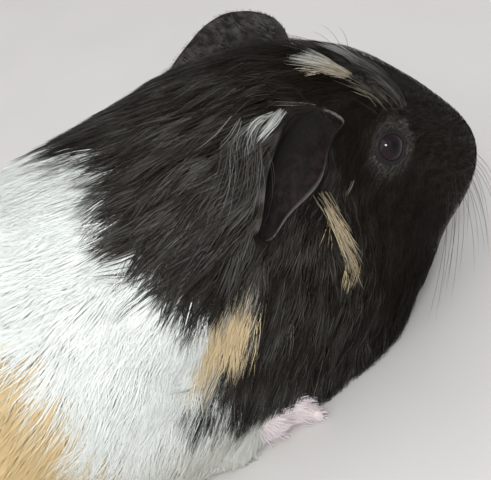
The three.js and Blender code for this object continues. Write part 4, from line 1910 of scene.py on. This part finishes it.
@dataclass
class Coat:
    """Grows the strands of every zone from the skin."""

    head: HeadAxes
    groom: Groom
    markings: Markings
    surface: Surface
    eyes: list[Eye]
    ears: list[bpy.types.Object]
    sink: float = 0.5  # the roots start this far under the skin
    floor: float = 0.2
    stray: float = 0.11  # how far single hairs turn from the lie
    leaders: int = 13  # hairs to a lock
    eye_gap: float = 4.9  # no strand comes nearer to an eye's line of sight

    def roots(self) -> tuple[np.ndarray, np.ndarray]:
        """Returns the triangles that hair may grow from, and how many hairs each asks for.

        Returns:
            The triangles' middles, and how many hairs each asks for.
        """
        corners = self.surface.points
        faces = self.surface.faces
        triangles = np.array([[f[0], f[i], f[i + 1]] for f in faces for i in range(1, len(f) - 1)])
        a, b, c = (corners[triangles[:, i]] for i in range(3))
        cross = np.cross(b - a, c - a)
        area = np.linalg.norm(cross, axis=1) / 2
        middle = (a + b + c) / 3
        ask = area / self.groom.length(middle) ** 0.75
        ask *= np.where((middle[:, 2] < 3.0) & (cross[:, 2] < 0), 0.0, 1.0)
        self.triangles, self.corners = triangles, corners
        return middle, ask

    def scattered(self, ask: np.ndarray, count: int, rng: np.random.Generator) -> np.ndarray:
        """Returns places scattered over the triangles as densely as they ask.

        Args:
            ask: of each triangle.
            count: of places.
            rng: draws them.

        Returns:
            The places, (count, 3).
        """
        total = np.cumsum(ask)
        drawn = (np.arange(count) + rng.random(count)) / count * total[-1]
        chosen = self.triangles[np.searchsorted(total, drawn).clip(0, len(ask) - 1)]
        r, s = np.sqrt(rng.random((count, 1))), rng.random((count, 1))
        a, b, c = (self.corners[chosen[:, i]] for i in range(3))
        return a * (1 - r) + b * r * (1 - s) + c * r * s

    def grown(
        self, roots: np.ndarray, zone: Zone, rng: np.random.Generator
    ) -> tuple[np.ndarray, np.ndarray, np.ndarray]:
        """Returns the paths from the roots, the directions away from the skin on them, and the lengths.

        Args:
            roots: where the strands start.
            zone: gives their steps and heights.
            rng: draws their differences.

        Returns:
            Paths, directions away from the skin, and lengths.
        """
        count = len(roots)
        length = self.groom.length(roots) * rng.uniform(0.72, 1.15, count)
        height = self.groom.depth(roots) * rng.uniform(zone.level, 1.0, count)
        wild = rng.random(count) < zone.wild
        height = np.where(wild, height * 1.25, height)
        turn = rng.normal(0, self.stray, count) * np.where(wild, 2.5, 1.0)
        wave = rng.uniform(0, 2 * math.pi, count)
        locks = 0.16 * ripple(roots, 11, 21) + 0.10 * ripple(roots, 5, 22)
        _, away = self.surface.at(roots)
        paths = [roots - away * self.sink]
        aways = [away]
        here = roots
        for step in range(1, zone.steps + 1):
            way = step / zone.steps
            lie = self.groom.lie(here, away)
            side = np.cross(away, lie)
            angle = (turn + locks + 0.08 * np.sin(wave + 2.5 * way))[:, None]
            here = here + (lie * np.cos(angle) + side * np.sin(angle)) * (length / zone.steps)[:, None]
            here = self.surface.laid_on(here, height * way**zone.rise)
            here[:, 2] = np.maximum(here[:, 2], self.floor)
            _, away = self.surface.at(here)
            paths.append(here)
            aways.append(away)
        return np.stack(paths, axis=1), np.stack(aways, axis=1), length

    def gathered(self, paths: np.ndarray, share: np.ndarray, rng: np.random.Generator) -> np.ndarray:
        """Returns the paths with their tips drawn together into locks, by a share for each strand.

        Args:
            paths: of the strands.
            share: how far each is drawn, from 0 to 1.
            rng: picks the leading strands.

        Returns:
            The new paths.
        """
        count = len(paths)
        leaders = np.sort(rng.choice(count, max(1, count // self.leaders), replace=False))
        tree = KDTree(len(leaders))
        for i, leader in enumerate(leaders):
            tree.insert(paths[leader, 0], i)
        tree.balance()
        nearest = leaders[[tree.find(root)[1] for root in paths[:, 0]]]
        steps = paths.shape[1] - 1
        pull = share[:, None] * (np.arange(steps + 1) / steps) ** 1.4 * rng.uniform(0.5, 1.3, (count, 1))
        pull = np.clip(pull, 0, 0.92)[..., None]
        return paths * (1 - pull) + paths[nearest] * pull

    def clear(self, paths: np.ndarray, local: np.ndarray) -> np.ndarray:
        """Returns which strands stay clear of the eyes, the nostrils and the mouth.

        Args:
            paths: of the strands.
            local: their roots in the head's frame.

        Returns:
            Whether each is clear.
        """
        good = ~Snout().open(local)
        for eye in self.eyes:
            spread = paths - eye.middle
            ahead = spread @ eye.axes[2]
            apart = np.linalg.norm(spread - ahead[..., None] * eye.axes[2], axis=-1)
            good &= ~((apart < self.eye_gap) & (ahead > 0)).any(axis=1)
        return good

    def clear_of_ears(self, paths: np.ndarray) -> np.ndarray:
        """Returns which strands don't run through an ear.

        Args:
            paths: of the strands.

        Returns:
            Whether each is clear.
        """
        good = np.ones(len(paths), bool)
        for ear in self.ears:
            points = points_of(ear.data)
            faces = [tuple(p.vertices) for p in ear.data.polygons]
            tree = BVHTree.FromPolygons([Vector(p) for p in points], faces)
            low, high = points.min(axis=0) - 2, points.max(axis=0) + 2
            near = ((paths.max(axis=1) > low) & (paths.min(axis=1) < high)).all(axis=1)
            for i in np.flatnonzero(near & good):
                for start, end in zip(paths[i, :-1], paths[i, 1:]):
                    way = Vector(end - start)
                    if tree.ray_cast(Vector(start), way.normalized(), way.length + 0.4)[0] is not None:
                        good[i] = False
                        break
        return good

    def tufts(self) -> Strands:
        """Returns the hairs of all the tufts.

        Returns:
            The strands.
        """
        rng = np.random.default_rng(Seed.TUFTS)
        steps = 4
        way = np.arange(steps + 1) / steps
        paths, shades, widths = [], [], []
        for tuft in TUFTS:
            root, tip = self.head.place(tuft.root), self.head.place(tuft.tip)
            count = tuft.count
            offset = rng.normal(0, 0.5, (count, 3))
            shift = offset + rng.normal(0, 0.35, (count, 3))
            start = root + offset * tuft.spread[0]
            end = root + (tip - root) * rng.uniform(0.72, 1.08, (count, 1)) + shift * tuft.spread[1]
            _, away = self.surface.at(start)
            side = unit(np.cross(away, end - start))
            lift = tuft.height * rng.uniform(0.8, 1.15, count)
            bow = tuft.bow * rng.uniform(0.6, 1.4, count) + rng.normal(0, 0.2, count)
            hairs = []
            for share in way:
                here = start + (end - start) * share + side * (bow * math.sin(math.pi * share))[:, None]
                hairs.append(self.surface.laid_on(here, lift * (0.6 + 0.4 * share**0.6)))
            paths.append(np.stack(hairs, axis=1))
            widths.append(np.full(count, tuft.width))
            pale = tuft.pale[0] + (tuft.pale[1] - tuft.pale[0]) * way
            # Tufts whose palest hair is under 0.35 get a more uneven paleness; among them are the grey tufts
            # painted as sheen on the black.
            sheen = max(tuft.pale) < 0.35
            pale = pale * rng.uniform(0.2, 1.2, (count, 1)) ** (2.5 if sheen else 1.0)
            tan = tuft.tan[0] + (tuft.tan[1] - tuft.tan[0]) * way + rng.normal(0, 0.06, (count, 1))
            tone = np.repeat(rng.random((count, 1)), steps + 1, axis=1)
            shades.append(np.stack([np.clip(pale, 0, 1), np.clip(tan, 0, 1), tone, 0 * tone], axis=-1))
        joined = np.concatenate(paths)
        _, away = self.surface.at(joined)
        wide = np.concatenate(widths) * rng.uniform(0.7, 1.3, len(joined))
        return Strands(joined, away, wide, np.concatenate(shades))

    def build(self, finish: bpy.types.Material) -> None:
        """Makes the pieces of the coat.

        Args:
            finish: the coat's material.
        """
        middle, ask = self.roots()
        free = ask > 0
        for number, zone in enumerate(ZONES):
            rng = np.random.default_rng(Seed.ZONES + number)
            place = self.head.local(middle) if zone.on is On.HEAD else middle
            inside = ((place >= zone.low) & (place < zone.high)).all(axis=1) & free
            free &= ~inside
            roots = self.scattered(np.where(inside, ask, 0.0), zone.count, rng)
            paths, away, length = self.grown(roots, zone, rng)
            ahead, _ = self.markings.borders(roots)
            at_border = np.exp(-(((ahead - 5) / 8) ** 2))
            share = zone.clump + (1.0 - zone.clump) * at_border
            paths = self.gathered(paths, share, rng)
            keep = self.clear(paths, self.head.local(roots))
            keep &= self.clear_of_ears(paths)
            widths = (zone.width[0] + zone.width[1] * length) * rng.uniform(0.75, 1.2, len(roots))
            colours = self.markings.colours(roots, Seed.ZONE_TONES + number)
            strands = Strands(paths[keep], away[keep], widths[keep], colours[keep])
            settled(strands.mesh(zone.name), finish, zone.slot)
        settled(self.tufts().mesh("coat_tufts"), finish, "coat_white")


@dataclass(frozen=True)
class Fuzz:
    """Short straight hair on ears, lids and paws."""

    width: float = 0.16
    reach: float = 1.0  # ear hair is longer by this factor

    def grown(
        self, roots: np.ndarray, away: np.ndarray, lie: np.ndarray, length: np.ndarray, rise: float,
        colours: np.ndarray, seed: int,
    ) -> Strands:
        """Returns the hairs from their roots.

        Args:
            roots: where they start.
            away: the directions away from the skin.
            lie: the directions in which they lie.
            length: of each hair.
            rise: how far they stand up, as a share of their length.
            colours: of each hair.
            seed: picks the hairs' own turns.

        Returns:
            The strands.
        """
        rng = np.random.default_rng(seed)
        lie = unit(lie - (lie * away).sum(axis=1, keepdims=True) * away)
        side = np.cross(away, lie)
        turn = rng.normal(0, 0.25, (len(roots), 1))
        flat = lie * np.cos(turn) + side * np.sin(turn)
        steps = 2
        paths = []
        for step in range(steps + 1):
            share = step / steps
            reach = flat * share + away * rise * math.sin(share * 1.9)
            paths.append(roots - away * 0.12 + reach * length[:, None])
        joined = np.stack(paths, axis=1)
        joined[..., 2] = np.maximum(joined[..., 2], 0.15)
        widths = self.width * rng.uniform(0.75, 1.25, len(roots))
        return Strands(joined, np.repeat(away[:, None], steps + 1, axis=1), widths, colours)

    def on_ear(
        self, ear: Ear, count: int, cover: int, pale: Pair, finish: bpy.types.Material,
    ) -> None:
        """Covers an ear's back and front with fine hair, with longer dark hair over its base.

        Args:
            ear: the built ear.
            count: of hairs.
            cover: how many of them cover the base.
            pale: of the hairs, lowest and highest.
            finish: the hair's material.
        """
        rng = np.random.default_rng(Seed.EARS + ear.side)
        row = rng.integers(2, ear.rows - 1, count)
        over = np.arange(count) < cover
        row = np.where(over, rng.integers(0, 12, count), row)
        column = rng.integers(1, ear.columns - 1, count)
        upper = (rng.random(count) < 0.62) | over
        sheet = np.where(upper[:, None], ear.top[row, column], ear.under[row, column])
        outward = np.where(
            upper[:, None], ear.top[row, column] - ear.top[row - 1, column],
            ear.under[row, column] - ear.under[row - 1, column],
        )
        beside = ear.top[row, column] - ear.top[row, column - 1]
        away = unit(sheet - np.where(upper[:, None], ear.under[row, column], ear.top[row, column]))
        sheet = sheet + outward * rng.random((count, 1)) + beside * rng.random((count, 1))
        blotch = ease(-0.6, 1.2, ripple(sheet, 9, 61)) * np.where(over, 0.0, 1.0)
        shade = pale[0] + (pale[1] - pale[0]) * blotch * rng.uniform(0.3, 1.2, count)
        colours = np.stack([shade, np.full(count, 0.2), 0.2 * rng.random(count), np.zeros(count)], axis=1)
        length = rng.uniform(1.0, 2.4, count) * np.where(row > ear.rows - 6, 0.5, 1.0) * self.reach
        length = np.where(over, rng.uniform(4.0, 8.0, count), length)
        lie = unit(outward) * np.where(over, 0.35, 1.0)[:, None]
        lie -= unit(beside) * np.where(over, 1.0, 0.5)[:, None]
        strands = self.grown(sheet, away, lie, length, 0.12, colours, Seed.EAR_HAIRS + ear.side)
        settled(strands.mesh(sided("ear_fuzz", ear.side)), finish, "ear_skin")

    def on_lids(self, lids: Lids, grid: np.ndarray, count: int, finish: bpy.types.Material) -> None:
        """Covers the ring round one eye with very short grey-flecked hair that runs outwards and back.

        Args:
            lids: of the eye.
            grid: the lids' points.
            count: of hairs.
            finish: the hair's material.
        """
        eye = lids.eye
        rng = np.random.default_rng(Seed.LIDS + eye.side)
        row = rng.integers(5, len(grid) - 3, count)
        column = rng.integers(0, lids.columns, count)
        share = rng.random((count, 1))
        here, outer = grid[row, column], grid[row + 1, column]
        beside = grid[row, (column + 1) % lids.columns] - here
        away = unit(np.cross(beside, outer - here))
        away = away * np.sign((away @ eye.axes[2]))[:, None]
        roots = here + (outer - here) * share + beside * rng.random((count, 1))
        lie = unit(outer - here) + unit(eye.head.turn((-1.0, 0.0, -0.25))) * 0.9
        pale = 0.2 * rng.random(count) ** 2.2 * ease(19, 9, row)
        corner = (np.abs(np.cos(2 * math.pi * column / lids.columns)) > 0.97) & (row < 8)
        pale = pale + np.where(corner, 0.25 * rng.random(count), 0.0)
        colours = np.stack([pale, np.full(count, 0.25), 0.3 * rng.random(count), np.zeros(count)], axis=1)
        length = rng.uniform(1.0, 2.0, count)
        strands = self.grown(roots, away, lie, length, 0.14, colours, Seed.LID_HAIRS + eye.side)
        settled(strands.mesh(sided("lid_fuzz", eye.side)), finish, "coat_black")

    def on_paws(self, skin: Skin, count: int, finish: bpy.types.Material) -> None:
        """Covers the paws' upper sides with pale hair, longer on the forefeet and towards the leg.

        Args:
            skin: the built skin.
            count: of hairs.
            finish: the hair's material.
        """
        rng = np.random.default_rng(Seed.PAWS)
        points, normals = skin.paw_points, skin.paw_normals
        good = np.flatnonzero(normals[:, 2] > -0.25)
        chosen = rng.choice(good, count)
        roots = points[chosen] + rng.normal(0, 0.2, (count, 3))
        away = normals[chosen]
        lie = np.zeros((count, 3))
        shaggy = np.zeros(count)
        for paw in PAWS:
            heel, forward, _ = paw.frame()
            along = (roots - heel) @ forward
            near = roots - heel - forward * np.clip(along, 0, paw.length)[:, None]
            near = np.linalg.norm(near, axis=1) < 14
            lie[near] = forward * 0.6 + np.array([0, 0, -0.6])
            toes = ease(paw.length * 0.75, paw.length * 1.1, along[near])
            shaggy[near] = (4.6 if paw.name == "fore" else 3.2) * (1 - toes) + 2.8 * toes
        length = shaggy * rng.uniform(0.75, 1.15, count)
        tan = np.where(roots[:, 0] > 0, 0.10, 0.3) + rng.normal(0, 0.04, count)
        colours = np.stack([np.ones(count), np.clip(tan, 0, 1), rng.random(count), np.zeros(count)], axis=1)
        strands = self.grown(roots, away, lie, length, 0.35, colours, Seed.PAW_HAIRS)
        settled(strands.mesh("coat_paws"), finish, "foot_skin")


# ---- whiskers and claws ----


@dataclass(frozen=True)
class Whiskers:
    """Stiff whiskers in rows on both sides of the muzzle, with a few over the eyes."""

    rows: int = 4
    row_count: int = 5
    first: Triple = (34.0, 9.5, -11.0)  # forward, outward and up
    back_step: Triple = (-2.3, 1.35, -0.4)
    down_step: Triple = (-0.5, -0.3, -2.6)
    lengths: Pair = (13.0, 34.0)
    brow_count: int = 3
    brow_first: Triple = (3.0, 16.5, 9.0)
    brow_lengths: Pair = (11.0, 15.0)
    sag: Triple = (-0.28, 0.0, -0.22)
    steps: int = 6
    width: float = 0.17

    def build(self, head: HeadAxes, surface: Surface, finish: bpy.types.Material) -> None:
        """Makes one piece of all the whiskers.

        Args:
            head: the head's axes.
            surface: the skin's surface.
            finish: their material.
        """
        rng = np.random.default_rng(Seed.WHISKERS)
        starts, ways, lengths = [], [], []
        for side in (RIGHT, LEFT):
            for row in range(self.rows):
                for index in range(self.row_count):
                    local = np.array(self.first) + np.array(self.back_step) * index
                    local = local + np.array(self.down_step) * row
                    starts.append(head.place(local * (1, side, 1)))
                    way = np.array([0.15 - 0.16 * index, 0.85, -0.15 - 0.17 * row]) + rng.normal(0, 0.08, 3)
                    ways.append(head.turn(way * (1, side, 1)))
                    share = index / (self.row_count - 1)
                    low, high = self.lengths
                    lengths.append((low + (high - low) * share) * rng.uniform(0.8, 1.1))
            for index in range(self.brow_count):
                local = np.array(self.brow_first) - (2.0 * index, 0.0, 0.0)
                starts.append(head.place(local * (1, side, 1)))
                ways.append(head.turn(np.array([0.1 - 0.3 * index, 0.75, 0.45]) * (1, side, 1)))
                lengths.append(rng.uniform(*self.brow_lengths))
        start = surface.laid_on(np.array(starts), -0.4)
        _, away = surface.at(start)
        way = unit(unit(np.array(ways)) + 0.35 * away)
        share = (np.arange(self.steps + 1) / self.steps)[None, :, None]
        reach = np.array(lengths)[:, None, None] * share
        paths = start[:, None] + way[:, None] * reach + np.array(self.sag) * reach * share
        paths[..., 2] = np.maximum(paths[..., 2], 0.4)
        count = len(paths)
        aways = np.repeat(away[:, None], self.steps + 1, axis=1)
        colours = np.tile([0.0, 0.0, 0.5, 1.0], (count, 1))
        strands = Strands(paths, aways, np.full(count, self.width), colours, flatness=0.9)
        settled(strands.mesh("whiskers"), finish, "coat_black")


@dataclass(frozen=True)
class Claws:
    """A curved claw at the tip of every toe."""

    sides: int = 10
    steps: int = 8
    root: float = 0.95  # half width at the root
    curve: float = 0.5  # how far it bends down along its length, in radians

    def build(self, finish: bpy.types.Material) -> None:
        """Makes one piece of all the claws.

        Args:
            finish: their material.
        """
        points, quads, triangles, shades = [], [], [], []
        turn = np.linspace(0, 2 * math.pi, self.sides, endpoint=False)
        for paw in PAWS:
            for index in range(paw.toes):
                joints = paw.toe(index)
                way = unit((joints[-1] - joints[-2]) * (1, 1, 0))
                across = np.array([-way[1], way[0], 0.0])
                here = joints[-1] + way * paw.toe_radius * 0.45 + np.array([0, 0, 0.25])
                rings = []
                for step in range(self.steps):
                    share = step / (self.steps - 1)
                    angle = self.curve * (share - 0.35)
                    forward = way * math.cos(angle) - np.array([0, 0, math.sin(angle)])
                    lift = np.cross(forward, across) * -1
                    half = self.root * (1 - share**1.6 * 0.86)
                    ring = across * np.cos(turn)[:, None] * half * 0.62 + lift * np.sin(turn)[:, None] * half
                    rings.append(here + ring)
                    shades.append(np.full(self.sides, share))
                    here = here + forward * paw.claw_length / (self.steps - 1)
                start = sum(len(p) for p in points)
                grid = np.concatenate(rings)
                tip = here - forward * paw.claw_length / (self.steps - 1) * 0.8
                points.append(np.concatenate([grid, [rings[0].mean(axis=0), tip]]))
                shades.append(np.array([0.0, 1.0]))
                quads.append(grid_faces(self.steps, self.sides, True) + start)
                ring = np.arange(self.sides) + start
                last = (self.steps - 1) * self.sides
                base = start + len(grid)
                triangles += [fan(ring, base), fan(ring + last, base + 1)[:, ::-1]]
        whole = np.concatenate(points)
        whole[:, 2] = np.maximum(whole[:, 2], 0.1)
        claws = mesh_piece("claws", whole, np.concatenate(quads)[:, ::-1], np.concatenate(triangles)[:, ::-1])
        shade = np.concatenate(shades)
        store_colour(claws.data, "claw", np.stack([shade, shade, shade, 0 * shade + 1], axis=1))
        settled(claws, finish, "claw")


# ---- studio ----


@dataclass(frozen=True)
class Studio:
    """A pale floor, soft lights, and the camera."""

    aim: Triple = (60.0, -10.0, 50.0)
    azimuth: float = math.radians(-8)
    elevation: float = math.radians(37)
    roll: float = math.radians(23)
    distance: float = 350.0
    view_width: float = 0.40081633  # of the view, at a distance of 1
    off_centre: Pair = (0.02483265, 0.00742857)  # from aim to the view's middle, there
    floor_half: float = 900.0
    floor_tones: tuple = ((0.60, 0.585, 0.57), (0.57, 0.556, 0.542))
    sky: float = 0.57

    def axes(self) -> tuple[np.ndarray, np.ndarray, np.ndarray]:
        """Returns the camera's right, its up, and the way back towards it.

        Returns:
            Right, up and back.
        """
        a, e, r = self.azimuth, self.elevation, self.roll
        back = np.array([math.sin(a) * math.cos(e), -math.cos(a) * math.cos(e), math.sin(e)])
        right = np.array([math.cos(a), math.sin(a), 0.0])
        up = np.cross(back, right)
        return right * math.cos(r) - up * math.sin(r), right * math.sin(r) + up * math.cos(r), back

    def camera(self) -> None:
        """Makes the camera, turned so that the aim lies off the view's middle as it should."""
        right, up, back = self.axes()
        place = np.array(self.aim) + back * self.distance
        forward = unit(-back - right * self.off_centre[0] - up * self.off_centre[1])
        right = unit(right - right @ forward * forward)
        up = np.cross(right, forward)
        data = bpy.data.cameras.new("camera")
        data.sensor_width = 36.0
        data.lens = 36.0 / self.view_width
        data.clip_start, data.clip_end = 0.01, 10.0
        camera = bpy.data.objects.new("camera", data)
        turn = Matrix((right, up, -forward)).transposed().to_4x4()
        camera.matrix_world = Matrix.Translation(place * MM) @ turn
        bpy.context.scene.collection.objects.link(camera)
        bpy.context.scene.camera = camera

    def lamp(self, name: str, place: tuple, size: float, power: float, colour: tuple) -> None:
        """Makes a square soft light, in metres, turned to the animal.

        Args:
            name: the light's name.
            place: in metres.
            size: of its side, in metres.
            power: in watts.
            colour: its tint.
        """
        data = bpy.data.lights.new(name, "AREA")
        data.shape = "SQUARE"
        data.size, data.energy, data.color = size, power, colour
        lamp = bpy.data.objects.new(name, data)
        lamp.location = place
        lamp.rotation_euler = (Vector((0.03, 0, 0.05)) - Vector(place)).to_track_quat("-Z", "Y").to_euler()
        bpy.context.scene.collection.objects.link(lamp)

    def build(self) -> None:
        """Makes floor, lights, sky and camera."""
        half = self.floor_half
        corners = np.array([[-half, -half, 0], [half, -half, 0], [half, half, 0], [-half, half, 0]], float)
        floor = mesh_piece("floor", corners, np.array([[0, 1, 2, 3]]), np.zeros((0, 3), int))
        recipe = Recipe("floor")
        share = recipe.range(recipe.noise(60.0, 2.0), (0.3, 0.7), (0.0, 1.0))
        tone = recipe.mix(share, *self.floor_tones)
        floor.data.materials.append(recipe.finish(tone, Roughness=0.85))
        self.lamp("key", (-0.75, -0.12, 1.0), 2.0, 12.0, (1.0, 0.99, 0.97))
        self.lamp("fill", (-0.35, -1.2, 0.9), 2.8, 10.0, (0.99, 0.99, 1.0))
        self.lamp("glint", (-0.03, -0.5, 0.55), 0.13, 2.6, (0.97, 0.99, 1.0))
        world = bpy.data.worlds.new("sky")
        world.use_nodes = True
        background = world.node_tree.nodes["Background"]
        background.inputs[0].default_value = (0.98, 0.98, 1.0, 1)
        background.inputs[1].default_value = self.sky
        bpy.context.scene.world = world
        bpy.context.scene.view_settings.view_transform = "Standard"
        self.camera()


# ---- the whole animal ----


def main() -> None:
    """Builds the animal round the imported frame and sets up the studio."""
    logging.basicConfig(level=logging.INFO, format="%(message)s")
    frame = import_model()
    head = HeadAxes.from_frame()
    groom = Groom(head)
    markings = Markings(head)
    coat_finish = CoatFinish()
    eyes = [Eye(head, RIGHT), Eye(head, LEFT)]
    Studio().build()

    hide = Skin(frame, head, groom, markings)
    skin, surface = hide.build(eyes)
    settled(skin, HideFinish().make(coat_finish), "coat_black", *Skin.FLESH)

    eye_finish = EyeFinish().make()
    for eye in eyes:
        EyeBall(eye).build(eye_finish)
    dark = EarFinish()
    # The far ear's finish is a lighter, greyer copy with paler mottling, partly painted sheen where the ear
    # faces the light.
    grey = EarFinish("ear_skin_grey", skin=(0.008, 0.007, 0.0068), bloom_and_sheen=(0.058, 0.052, 0.05))
    flaps = [Ear(head, side) for side in (RIGHT, LEFT)]
    ears = [flap.build(finish.make()) for flap, finish in zip(flaps, (dark, grey))]
    Claws().build(ClawFinish().make())
    Whiskers().build(head, surface, WhiskerFinish().make())
    hair = coat_finish.make()
    Coat(head, groom, markings, surface, eyes, ears).build(hair)
    near_ear, far_ear = flaps
    Fuzz(width=0.12).on_ear(near_ear, count=2100, cover=800, pale=(0.0, 0.012), finish=hair)
    # The far ear's fine hair has paler blotches of painted sheen.
    Fuzz(width=0.15, reach=1.15).on_ear(far_ear, count=5000, cover=500, pale=(0.03, 0.11), finish=hair)
    for lids, grid in zip(hide.lids, hide.lid_grids):
        Fuzz(width=0.1).on_lids(lids, grid, count=1200, finish=hair)
    paw_hair = CoatFinish("paw hair", white=(0.82, 0.75, 0.78), tan=(0.80, 0.68, 0.66)).make()
    Fuzz(width=0.3).on_paws(hide, count=4400, finish=paw_hair)


if __name__ == "__main__":
    main()
